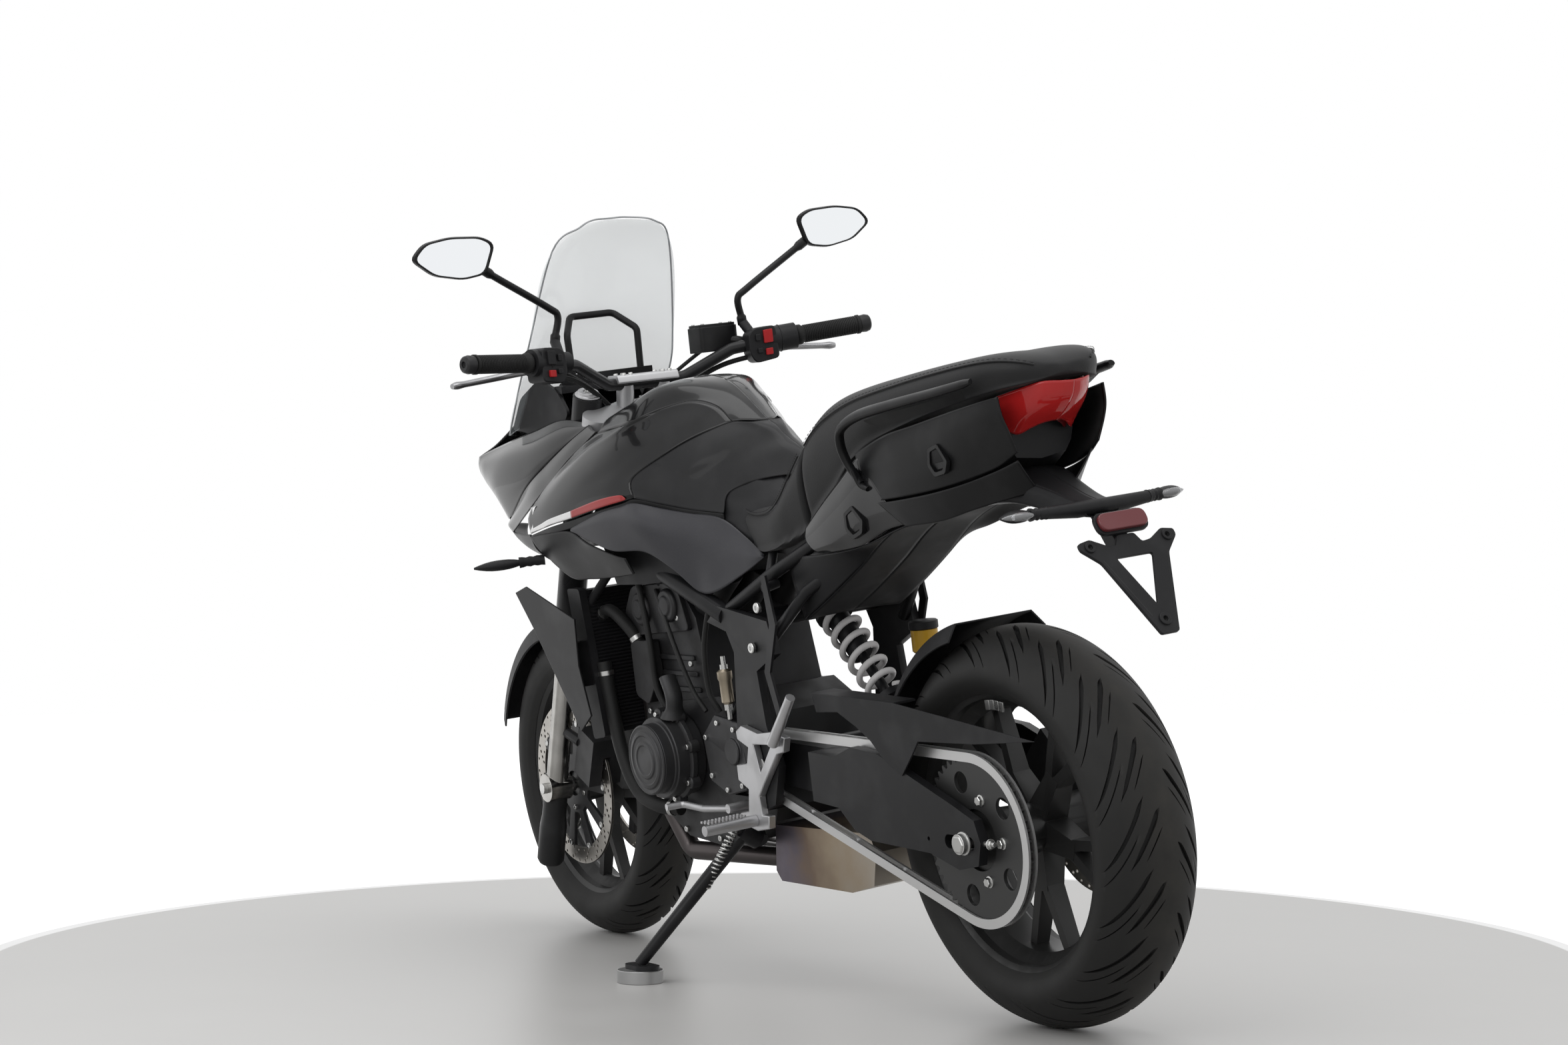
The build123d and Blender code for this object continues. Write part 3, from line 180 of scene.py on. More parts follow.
class Shader:
    """One material's node tree, ending in a Principled BSDF."""

    def __init__(self, name: str) -> None:
        """Starts an empty material with its shader and output."""
        self.material = bpy.data.materials.new(name)
        self.material.use_nodes = True
        self.tree = self.material.node_tree
        self.tree.nodes.clear()
        self.output = self.tree.nodes.new("ShaderNodeOutputMaterial")
        self.surface = self.tree.nodes.new("ShaderNodeBsdfPrincipled")
        self.tree.links.new(self.surface.outputs[0], self.output.inputs[0])

    def node(self, kind: str, settings: dict, inputs: dict, out: int | str = 0) -> Value:
        """Adds any node.

        Args:
            kind: the node's type.
            settings: attributes set first; "stops" fills a colour ramp with (position, colour) pairs.
            inputs: sockets by name or number, each a Value to link or a constant.
            out: the output wanted.

        Returns:
            The chosen output as a Value.
        """
        made = self.tree.nodes.new(kind)
        for key, value in settings.items():
            if key == "stops":
                ramp = made.color_ramp
                while len(ramp.elements) < len(value):
                    ramp.elements.new(0.5)
                for element, (position, colour) in zip(ramp.elements, value):
                    element.position, element.color = position, colour
            else:
                setattr(made, key, value)
        for key, value in inputs.items():
            if isinstance(value, Value):
                self.tree.links.new(value.socket, made.inputs[key])
            else:
                made.inputs[key].default_value = value
        return Value(self, made.outputs[out])

    def set(self, **sockets: "Value | float | Sequence[float]") -> None:
        """Sets or links the surface's sockets, named with underscores for spaces."""
        for name, value in sockets.items():
            socket = self.surface.inputs[name.replace("_", " ")]
            if isinstance(value, Value):
                self.tree.links.new(value.socket, socket)
            else:
                socket.default_value = value

    def place(self, scale: Sequence[float] = (1.0, 1.0, 1.0)) -> Value:
        """The point on the piece, stretched by a scale."""
        coords = self.node("ShaderNodeTexCoord", {}, {}, "Object")
        return self.node("ShaderNodeMapping", {}, {"Vector": coords, "Scale": scale})

    def noise(self, scale: float, detail: float = 3.0, stretch: Sequence[float] = (1.0, 1.0, 1.0)) -> Value:
        """Smooth noise from nought to one."""
        return self.node("ShaderNodeTexNoise", {}, {"Vector": self.place(stretch), "Scale": scale,
                                                    "Detail": detail})

    def cells(self, scale: float, feature: str = "F1") -> Value:
        """Distance to the cells of a scattered pattern."""
        return self.node("ShaderNodeTexVoronoi", {"feature": feature},
                         {"Vector": self.place(), "Scale": scale})

    def painted(self, name: str) -> Value:
        """A number stored on the mesh's points."""
        return self.node("ShaderNodeAttribute", {"attribute_name": name}, {}, "Fac")

    def mix(self, share: Value, first: "Colour | Value", second: "Colour | Value") -> Value:
        """A colour between two colours."""
        return self.node("ShaderNodeMix", {"data_type": "RGBA"}, {0: share, 6: first, 7: second}, 2)

    def bump(self, height: Value, strength: float, distance: float, under: Optional[Value] = None) -> Value:
        """A normal tilted by a height."""
        inputs = {"Height": height, "Strength": strength, "Distance": distance}
        if under is not None:
            inputs["Normal"] = under
        return self.node("ShaderNodeBump", {}, inputs)


def grey(level: float) -> Colour:
    """A neutral colour."""
    return (level, level, level, 1.0)


# ---------------------------------------------------------------- finishes
@dataclass(frozen=True)
class Surface:
    """What every finish has: its own name, the record's slot that it stands for, and its colour."""

    name: str
    slot: str
    colour: Colour

    def shade(self, gain: float, lift: float = 0.0) -> Colour:
        """The colour made darker or paler."""
        return tuple(min(1.0, c * gain + lift) for c in self.colour[:3]) + (1.0,)


@dataclass(frozen=True)
class Lacquer(Surface):
    """Paint under clear coat, with a faint orange peel and dust that dulls it here and there."""

    roughness: float = 0.22
    coat: float = 1.0
    flake: float = 0.0
    shine: float = 0.2

    def build(self) -> bpy.types.Material:
        """Makes the material."""
        s = Shader(self.name)
        dust = s.noise(9.0, 5.0).above(0.62, 0.30)
        colour = s.mix(dust, self.colour, self.shade(1.0, 0.012))
        if self.flake:
            spark = s.cells(5200.0).above(0.72, 0.2)
            colour = s.mix(spark * self.flake, colour, grey(0.35))
        peel = s.noise(420.0, 1.0)
        s.set(Base_Color=colour, Roughness=dust * 0.05 + self.roughness, Coat_Weight=self.coat,
              Coat_Roughness=0.04,
              Coat_IOR=1.35, Specular_IOR_Level=self.shine, Normal=s.bump(peel, 0.02, 0.0004))
        return s.material


@dataclass(frozen=True)
class Moulded(Surface):
    """Moulded plastic or powder coat with a fine spark-eroded grain and rubbed high spots."""

    roughness: float = 0.5
    grain: float = 1400.0
    depth: float = 0.12
    shine: float = 0.22

    def build(self) -> bpy.types.Material:
        """Makes the material."""
        s = Shader(self.name)
        rubbed = s.noise(14.0, 6.0).above(0.60, 0.25)
        grain = s.cells(self.grain) + s.noise(self.grain * 0.4, 3.0)
        s.set(Base_Color=s.mix(rubbed, self.colour, self.shade(1.35, 0.004)), Roughness=rubbed * -0.08
              + self.roughness, Specular_IOR_Level=self.shine, Normal=s.bump(grain, self.depth, 0.0005))
        return s.material


@dataclass(frozen=True)
class Cast(Surface):
    """Cast or machined metal with a sandy skin and faint stains."""

    roughness: float = 0.42
    metallic: float = 0.85
    grain: float = 900.0
    depth: float = 0.15
    stain: Colour = (0.02, 0.018, 0.015, 1.0)
    stained: float = 0.25

    def build(self) -> bpy.types.Material:
        """Makes the material."""
        s = Shader(self.name)
        blotch = s.noise(22.0, 6.0).above(0.56, 0.3)
        s.set(Base_Color=s.mix(blotch * self.stained, self.colour, self.stain), Metallic=self.metallic,
              Roughness=blotch * 0.14 + self.roughness, Normal=s.bump(s.noise(self.grain, 4.0), self.depth,
                                                                      0.0006))
        return s.material


@dataclass(frozen=True)
class Brushed(Surface):
    """Steel or aluminium drawn or ground in one direction."""

    roughness: float = 0.28
    stretch: tuple[float, float, float] = (1.0, 1.0, 30.0)
    scale: float = 260.0
    depth: float = 0.10

    def build(self) -> bpy.types.Material:
        """Makes the material."""
        s = Shader(self.name)
        lines = s.noise(self.scale, 4.0, self.stretch)
        blotch = s.noise(30.0, 4.0)
        s.set(Base_Color=s.mix(blotch.above(0.5, 0.5), self.colour, self.shade(0.72)), Metallic=1.0,
              Roughness=lines * 0.16 + self.roughness - 0.06, Normal=s.bump(lines, self.depth, 0.0004))
        return s.material


@dataclass(frozen=True)
class HeatStained:
    """Bare exhaust steel, browned and blued by heat towards its front."""

    name: str
    slot: str
    hot: float
    cold: float

    def build(self) -> bpy.types.Material:
        """Makes the material."""
        s = Shader(self.name)
        x = s.node("ShaderNodeSeparateXYZ", {}, {"Vector": s.place()}, "X")
        heat = ((x - self.cold) / (self.hot - self.cold) + s.noise(16.0, 5.0) * 0.5 - 0.25).clamped()
        stops = [(0.0, (0.42, 0.38, 0.33, 1)), (0.35, (0.36, 0.29, 0.21, 1)), (0.6, (0.22, 0.16, 0.12, 1)),
                 (0.8, (0.16, 0.14, 0.17, 1)), (1.0, (0.09, 0.08, 0.08, 1))]
        colour = s.node("ShaderNodeValToRGB", {"stops": stops}, {"Fac": heat})
        lines = s.noise(300.0, 3.0, (1.0, 12.0, 1.0))
        s.set(Base_Color=colour, Metallic=0.9, Roughness=lines * 0.15 + 0.28,
              Normal=s.bump(lines, 0.08, 0.0004))
        return s.material


@dataclass(frozen=True)
class Rubber(Surface):
    """Black rubber, greyer and smoother where the mesh says it is worn, with painted shade that makes it near
    black in its grooves.
    """

    colour: Colour = (0.012, 0.0118, 0.0115, 1.0)
    worn: Colour = (0.030, 0.028, 0.025, 1.0)
    roughness: float = 0.62

    def build(self) -> bpy.types.Material:
        """Makes the material."""
        s = Shader(self.name)
        # painted shade: the groove mask mixes the rubber towards near black (0.004) in the grooves' recesses
        groove = s.painted("groove")
        scuff = s.noise(26.0, 6.0)
        base = s.mix(s.painted("crown") * scuff.above(0.4, 0.5), self.colour, self.worn)
        fine = s.noise(1500.0, 2.0) + s.noise(160.0, 3.0) * 0.5
        s.set(Base_Color=s.mix(groove, base, (0.004, 0.004, 0.004, 1.0)), Roughness=scuff * 0.16
              + self.roughness - 0.08,
              Specular_IOR_Level=0.3, Normal=s.bump(fine, 0.16, 0.0006))
        return s.material


@dataclass(frozen=True)
class Vinyl(Surface):
    """Seat cover: pebbled grain under a soft sheen."""

    roughness: float = 0.52

    def build(self) -> bpy.types.Material:
        """Makes the material."""
        s = Shader(self.name)
        pebble = s.cells(620.0, "SMOOTH_F1") + s.noise(240.0, 3.0) * 0.5
        worn = s.noise(8.0, 5.0).above(0.5, 0.5)
        s.set(Base_Color=s.mix(worn, self.colour, self.shade(1.5, 0.003)), Roughness=worn * 0.1
              + self.roughness - 0.05, Sheen_Weight=0.05, Specular_IOR_Level=0.25,
              Normal=s.bump(pebble, 0.22, 0.0006))
        return s.material


@dataclass(frozen=True)
class Clear(Surface):
    """Clear or tinted moulding, with fine wipe marks."""

    roughness: float = 0.03
    transmission: float = 1.0
    ior: float = 1.45
    alpha: float = 1.0

    def build(self) -> bpy.types.Material:
        """Makes the material."""
        s = Shader(self.name)
        smear = s.noise(60.0, 5.0)
        s.set(Base_Color=self.colour, Transmission_Weight=self.transmission, IOR=self.ior, Alpha=self.alpha,
              Roughness=smear * 0.04 + self.roughness, Normal=s.bump(smear, 0.02, 0.0004))
        return s.material


@dataclass(frozen=True)
class Silvered(Surface):
    """Mirror glass with a slight tint."""

    colour: Colour = (0.86, 0.88, 0.9, 1.0)

    def build(self) -> bpy.types.Material:
        """Makes the material."""
        s = Shader(self.name)
        s.set(Base_Color=self.colour, Metallic=1.0, Roughness=s.noise(40.0, 4.0) * 0.02 + 0.01)
        return s.material


class Finish(Enum):
    """Every finish on the machine."""

    BLACK_GLOSS = Lacquer("black_lacquer", "black_paint", (0.004, 0.004, 0.0045, 1), 0.2, 0.6, 0.02)
    GREY_SATIN = Lacquer("graphite_satin", "grey_panel", (0.036, 0.036, 0.041, 1), 0.42, 0.12, 0.12)
    KNEE_SATIN = Lacquer("black_satin_cover", "black_paint", (0.011, 0.011, 0.012, 1), 0.4, 0.12, 0.03)
    WHITE = Lacquer("white_stripe", "black_paint", (0.78, 0.78, 0.78, 1), 0.25, 1.0)
    RED = Lacquer("red_stripe", "black_paint", (0.32, 0.012, 0.012, 1), 0.25, 1.0)
    PLASTIC = Moulded("black_moulding", "black_plastic", (0.010, 0.010, 0.011, 1), 0.5)
    PLASTIC_FINE = Moulded("black_fine_moulding", "black_plastic", (0.006, 0.006, 0.0065, 1), 0.38, 2200.0,
                           0.05)
    FRAME = Moulded("black_powder_coat", "black_frame", (0.009, 0.009, 0.010, 1), 0.4, 1700.0, 0.08)
    ENGINE = Cast("engine_casting", "dark_metal", (0.016, 0.016, 0.0175, 1), 0.48, 0.35, 1100.0, 0.22)
    COVER = Cast("engine_cover", "dark_metal", (0.034, 0.034, 0.036, 1), 0.42, 0.45, 1300.0, 0.15)
    HOSE = Moulded("hose_rubber", "rubber", (0.014, 0.014, 0.014, 1), 0.55, 900.0, 0.1)
    SILVER = Cast("silver_casting", "grey_metal", (0.50, 0.50, 0.51, 1), 0.34, 0.9, 1500.0, 0.10,
                  stained=0.12)
    YOKE = Cast("grey_yoke", "grey_metal", (0.50, 0.50, 0.51, 1), 0.36, 0.6, 1700.0, 0.08, stained=0.1)
    ZINC = Cast("zinc_fastener", "grey_metal", (0.56, 0.56, 0.55, 1), 0.26, 1.0, 2400.0, 0.05, stained=0.15)
    BRASS = Cast("oxidised_valve", "grey_metal", (0.36, 0.31, 0.24, 1), 0.32, 1.0, 1800.0, 0.06)
    ALLOY_BLACK = Lacquer("black_alloy", "black_alloy", (0.010, 0.010, 0.0105, 1), 0.25, 0.8)
    CALIPER = Moulded("black_caliper", "black_alloy", (0.020, 0.020, 0.021, 1), 0.42, 1500.0, 0.08)
    LEVER = Brushed("lever_alloy", "grey_metal", (0.42, 0.42, 0.43, 1), 0.3, (1.0, 8.0, 1.0))
    DISC = Brushed("disc_steel", "bright_steel", (0.42, 0.40, 0.37, 1), 0.3, (6.0, 1.0, 6.0), 300.0)
    CHROME = Brushed("fork_chrome", "fork_metal", (0.48, 0.47, 0.45, 1), 0.16, (1.0, 1.0, 0.05), 200.0, 0.03)
    FORK = Moulded("black_fork_tube", "fork_black", (0.016, 0.016, 0.017, 1), 0.3, 2000.0, 0.04)
    SPRING = Moulded("spring_enamel", "spring", (0.56, 0.55, 0.55, 1), 0.38, 1500.0, 0.04)
    TYRE = Rubber("tyre_rubber", "tyre")
    GRIP = Moulded("grip_rubber", "rubber", (0.013, 0.013, 0.013, 1), 0.68, 1200.0, 0.2)
    SEAT = Vinyl("seat_vinyl", "seat_cover", (0.009, 0.009, 0.0095, 1))
    SCREEN = Clear("clear_screen", "clear_screen", (0.995, 0.995, 0.995, 1), 0.0, 1.0, 1.1, 0.05)
    SCREEN_EDGE = Moulded("screen_edge", "clear_screen", (0.30, 0.31, 0.32, 1), 0.2, 900.0, 0.01)
    LENS = Clear("clear_lens", "lamp_lens", (0.92, 0.93, 0.95, 1), 0.05, 0.8, 1.45)
    RED_LENS = Clear("red_lens", "red_lens", (0.42, 0.004, 0.008, 1), 0.06, 0.92, 1.45)
    REFLECTOR = Lacquer("red_reflector", "red_lens", (0.13, 0.018, 0.022, 1), 0.3, 1.0)
    REFLECT_RED = Lacquer("red_lamp_bowl", "red_lens", (0.13, 0.006, 0.008, 1), 0.2, 0.9)
    REFLECT = Lacquer("lamp_reflector", "lamp_lens", (0.55, 0.55, 0.57, 1), 0.12, 1.0)
    SWITCH = Moulded("red_switch", "black_plastic", (0.36, 0.014, 0.016, 1), 0.4, 1500.0, 0.04)
    YELLOW = Moulded("yellow_fluid", "black_plastic", (0.52, 0.30, 0.03, 1), 0.3, 900.0, 0.03)
    GLASS = Moulded("dark_display", "black_plastic", (0.006, 0.006, 0.007, 1), 0.1, 500.0, 0.01)
    MIRROR = Silvered("mirror_glass", "mirror")
    EXHAUST = HeatStained("heat_stained_steel", "exhaust_steel", 0.02, -0.34)
    PUCK = Brushed("puck_steel", "puck_steel", (0.42, 0.42, 0.42, 1), 0.3, (4.0, 4.0, 1.0), 220.0)

    @property
    def material(self) -> bpy.types.Material:
        """The finish's material, made on first use."""
        return bpy.data.materials.get(self.value.name) or self.value.build()


# ---------------------------------------------------------------- forms
def unit(vector: Sequence[float]) -> np.ndarray:
    """A direction of length one."""
    v = np.asarray(vector, float)
    return v / np.linalg.norm(v)


def curve(points: Sequence[Point], steps: int = 8, closed: bool = False) -> np.ndarray:
    """Points of a smooth line through the given ones.

    Args:
        points: where the line passes.
        steps: points made for each stretch.
        closed: whether the line returns to its start.

    Returns:
        An array with a row for each point.
    """
    p = np.asarray(points, float)
    n = len(p)
    if closed:
        p = np.vstack([p[-1], p, p[:2]])
    else:
        p = np.vstack([2 * p[0] - p[1], p, 2 * p[-1] - p[-2]])
    made = []
    for i in range(n if closed else n - 1):
        a, b, c, d = p[i:i + 4]
        for t in np.linspace(0, 1, steps, endpoint=False):
            made.append(0.5 * (2 * b + (c - a) * t + (2 * a - 5 * b + 4 * c - d) * t**2
                               + (3 * b - a - 3 * c + d) * t**3))
    if not closed:
        made.append(p[-2])
    return np.array(made)


@dataclass
class Form:
    """A mesh in the making, in upright millimetres, with numbers painted on its points."""

    points: np.ndarray = field(default_factory=lambda: np.zeros((0, 3)))
    faces: list[tuple[int, ...]] = field(default_factory=list)
    paint: dict[str, np.ndarray] = field(default_factory=dict)

    def __add__(self, other: "Form") -> "Form":
        """Both meshes as one."""
        start = len(self.points)
        paint = {}
        for key in {*self.paint, *other.paint}:
            paint[key] = np.concatenate([self.paint.get(key, np.zeros(start)),
                                         other.paint.get(key, np.zeros(len(other.points)))])
        return Form(np.vstack([self.points, other.points]),
                    self.faces + [tuple(i + start for i in f) for f in other.faces], paint)

    def moved(self, matrix: Matrix) -> "Form":
        """The mesh moved by a matrix."""
        m = np.array(matrix)
        return Form(self.points @ m[:3, :3].T + m[:3, 3], self.faces, self.paint)

    def turned(self, origin: Point, degrees: float) -> "Form":
        """The mesh turned about a line across the machine."""
        spot = Matrix.Translation(origin)
        return self.moved(spot @ Matrix.Rotation(math.radians(degrees), 4, "Y") @ spot.inverted())

    def mirrored(self) -> "Form":
        """The mesh on the other side of the centre plane."""
        return Form(self.points * (1, -1, 1), [f[::-1] for f in self.faces], self.paint)

    def both(self) -> "Form":
        """The mesh and its mirror image."""
        return self + self.mirrored()

    def round_axis(self, origin: Point, axis: Point, count: int, start: float = 0.0) -> "Form":
        """Copies spread evenly round an axis."""
        made = Form()
        spot = Matrix.Translation(Vector(origin))
        for i in range(count):
            turn = Matrix.Rotation(start + 2 * math.pi * i / count, 4, Vector(axis))
            made += self.moved(spot @ turn @ spot.inverted())
        return made


def gather(forms: Iterable[Form]) -> Form:
    """Many meshes as one, joined in one go."""
    forms = list(forms)
    start, faces, keys = 0, [], {k for f in forms for k in f.paint}
    for f in forms:
        faces += [tuple(i + start for i in face) for face in f.faces]
        start += len(f.points)
    paint = {k: np.concatenate([f.paint.get(k, np.zeros(len(f.points))) for f in forms]) for k in keys}
    return Form(np.vstack([f.points for f in forms]), faces, paint)


def sheet(rows: np.ndarray, wrap_rows: bool = False, wrap_columns: bool = False) -> Form:
    """A surface through a grid of points."""
    n, m = rows.shape[:2]
    faces = []
    for i in range(n if wrap_rows else n - 1):
        for j in range(m if wrap_columns else m - 1):
            k, q = (i + 1) % n, (j + 1) % m
            faces.append((i * m + j, i * m + q, k * m + q, k * m + j))
    return Form(rows.reshape(-1, 3), faces)


def loft(rings: Sequence[np.ndarray], caps: bool = True) -> Form:
    """A skin over closed outlines that all have the same number of points."""
    made = sheet(np.array(rings), wrap_columns=True)
    if caps:
        m, n = len(rings[0]), len(rings)
        made.faces += [tuple(range(m))[::-1], tuple(range((n - 1) * m, n * m))]
    return made


def frames(path: np.ndarray) -> list[tuple[np.ndarray, np.ndarray]]:
    """Two steady cross directions at each point of a line."""
    ahead = np.roll(path, -1, 0) - np.roll(path, 1, 0)
    ahead[0], ahead[-1] = path[1] - path[0], path[-1] - path[-2]
    ahead = ahead / np.linalg.norm(ahead, axis=1)[:, None]
    side = np.cross(ahead[0], (0, 0, 1) if abs(ahead[0][2]) < 0.9 else (1, 0, 0))
    made = []
    for direction in ahead:
        side = unit(side - direction * np.dot(side, direction))
        made.append((side, np.cross(direction, side)))
    return made


def tube(path: Sequence[Point], radius: float | Sequence[float], sides: int = 14,
         squash: float = 1.0) -> Form:
    """A round bar along a line; one radius or one for each point."""
    p = np.asarray(path, float)
    radii = np.broadcast_to(np.asarray(radius, float), (len(p),))
    angles = np.linspace(0, 2 * math.pi, sides, endpoint=False)
    rings = []
    for centre, r, (u, v) in zip(p, radii, frames(p)):
        rings.append(centre + r * (np.cos(angles)[:, None] * u + squash * np.sin(angles)[:, None] * v))
    return loft(rings)


def spaced(points: np.ndarray, count: int, trim: float = 0.0) -> np.ndarray:
    """Evenly spaced points along a line, leaving out a length at each end."""
    steps = np.r_[0, np.cumsum(np.linalg.norm(np.diff(points, axis=0), axis=1))]
    at = np.linspace(trim, steps[-1] - trim, count)
    return np.stack([np.interp(at, steps, points[:, k]) for k in range(points.shape[1])], 1)


def skin(rows: Sequence[Sequence[Point]], count: int = 56, across: int = 28, gap: float = 0.8) -> "Form":
    """A smooth panel through several lines.

    Args:
        rows: lines of points, one after another across the panel.
        count: points along each line.
        across: points from the first line to the last.
        gap: how far the panel stops short of its outline all round.

    Returns:
        The mesh.
    """
    lines = np.array([spaced(curve(row, 14), count, gap) for row in rows])
    columns = [spaced(curve(lines[:, j], 14), across, gap) for j in range(count)]
    return sheet(np.array(columns).transpose(1, 0, 2))


def lathe(profile: Sequence[Flat], origin: Point, axis: Point, sides: int = 64, closed: bool = False) -> Form:
    """A turned shape.

    Args:
        profile: distances along the axis and out from it.
        origin: where the axis starts.
        axis: its direction.
        sides: faces round the turn.
        closed: whether the profile is a loop; otherwise its ends are capped.

    Returns:
        The mesh.
    """
    a = unit(axis)
    u = unit(np.cross(a, (0, 0, 1) if abs(a[2]) < 0.9 else (1, 0, 0)))
    v = np.cross(a, u)
    angles = np.linspace(0, 2 * math.pi, sides, endpoint=False)
    spokes = np.cos(angles)[:, None] * u + np.sin(angles)[:, None] * v
    rows = np.array([np.asarray(origin) + a * h + spokes * max(r, 0.001) for h, r in profile])
    made = sheet(rows, closed, True)
    if not closed:
        n, m = rows.shape[:2]
        made.faces += [tuple(range(m))[::-1], tuple(range((n - 1) * m, n * m))]
    return made


def rounded(outline: Sequence[Flat], radius: float, steps: int = 5) -> list[Flat]:
    """An outline with its corners rounded, each by no more than its sides allow."""
    made, n = [], len(outline)
    for i in range(n):
        p, a, b = (np.asarray(outline[j % n], float) for j in (i, i - 1, i + 1))
        la, lb = np.linalg.norm(a - p), np.linalg.norm(b - p)
        cut = min(radius, la * 0.45, lb * 0.45)
        s, e = p + (a - p) * cut / la, p + (b - p) * cut / lb
        for t in np.linspace(0, 1, steps):
            made.append(tuple((1 - t)**2 * s + 2 * t * (1 - t) * p + t**2 * e))
    return made


def filled(outlines: Sequence[Sequence[Flat]]) -> tuple[np.ndarray, list[tuple[int, ...]]]:
    """Triangles that fill an outline, its first, around holes, the others."""
    if len(outlines) == 1:
        turn = sum(a[0] * b[1] - b[0] * a[1] for a, b in zip(outlines[0], [*outlines[0][1:], outlines[0][0]]))
        order = range(len(outlines[0])) if turn > 0 else range(len(outlines[0]) - 1, -1, -1)
        return np.array([tuple(p) for p in outlines[0]], float), [tuple(order)]
    flat, loops = [], []
    for outline in outlines:
        loops.append(list(range(len(flat), len(flat) + len(outline))))
        flat += [Vector(p) for p in outline]
    verts, _, faces, *_ = delaunay_2d_cdt(flat, [], loops, 5, 1e-7)
    return np.array([tuple(v) for v in verts]), [tuple(f) for f in faces]


def plate(outline: Sequence[Flat], low: float, high: float, origin: Point = (0, 0, 0),
          across: Point = (1, 0, 0),
          up: Point = (0, 0, 1), holes: Sequence[Sequence[Flat]] = ()) -> Form:
    """A flat plate with holes.

    Args:
        outline: points across and up from the origin.
        low: the near face's distance along the plate's normal, which is up crossed with across.
        high: the far face's distance.
        origin: where the outline's zero is.
        across: the outline's first direction.
        up: its second direction.
        holes: outlines of the holes.

    Returns:
        The mesh.
    """
    u, w = unit(across), unit(up)
    normal = np.cross(w, u)
    verts, faces = filled([outline, *holes])
    flat = np.asarray(origin) + verts[:, :1] * u + verts[:, 1:] * w
    n = len(flat)
    points = np.vstack([flat + normal * low, flat + normal * high])
    every = [tuple(f) for f in faces] + [tuple(i + n for i in f)[::-1] for f in faces]
    count: dict[tuple[int, int], int] = {}
    for f in faces:
        for a, b in zip(f, f[1:] + f[:1]):
            count[(a, b)] = 1
    for a, b in count:
        if (b, a) not in count:
            every.append((b, a, a + n, b + n))
    return Form(points, every)


def circle(x: float, y: float, radius: float, sides: int = 20) -> list[Flat]:
    """A round outline."""
    return [(x + radius * math.cos(t), y + radius * math.sin(t))
            for t in np.linspace(0, 2 * math.pi, sides, endpoint=False)]


def block(centre: Point, size: Point, turn: Point = (0, 0, 0)) -> Form:
    """A box turned about its centre by angles in degrees."""
    x, y, z = (s / 2 for s in size)
    outline = [(-x, -z), (x, -z), (x, z), (-x, z)]
    spin = Matrix.Rotation(math.radians(turn[2]), 4, "Z") @ Matrix.Rotation(math.radians(turn[1]), 4, "Y")
    spin = spin @ Matrix.Rotation(math.radians(turn[0]), 4, "X")
    return plate(outline, -y, y).moved(Matrix.Translation(Vector(centre)) @ spin)


def bolt(at: Point, axis: Point, head: float = 5.0, height: float = 4.0, socket: bool = True) -> Form:
    """A cap screw with a socket, or a hexagon bolt with its flange, standing on a face at a point."""
    if socket:
        body = lathe([(0, head), (height * 0.8, head), (height, head * 0.86), (height, head * 0.55)], at,
                     axis, 22)
        well = lathe([(height, head * 0.55), (height * 0.45, head * 0.5), (height * 0.42, 0)], at, axis, 6)
        return body + well
    flange = lathe([(0, head * 1.25), (height * 0.22, head * 1.22), (height * 0.3, head * 0.95)], at, axis,
                   24)
    return flange + lathe([(height * 0.2, head), (height * 0.9, head), (height, head * 0.86), (height, 0)],
                          at, axis, 6)


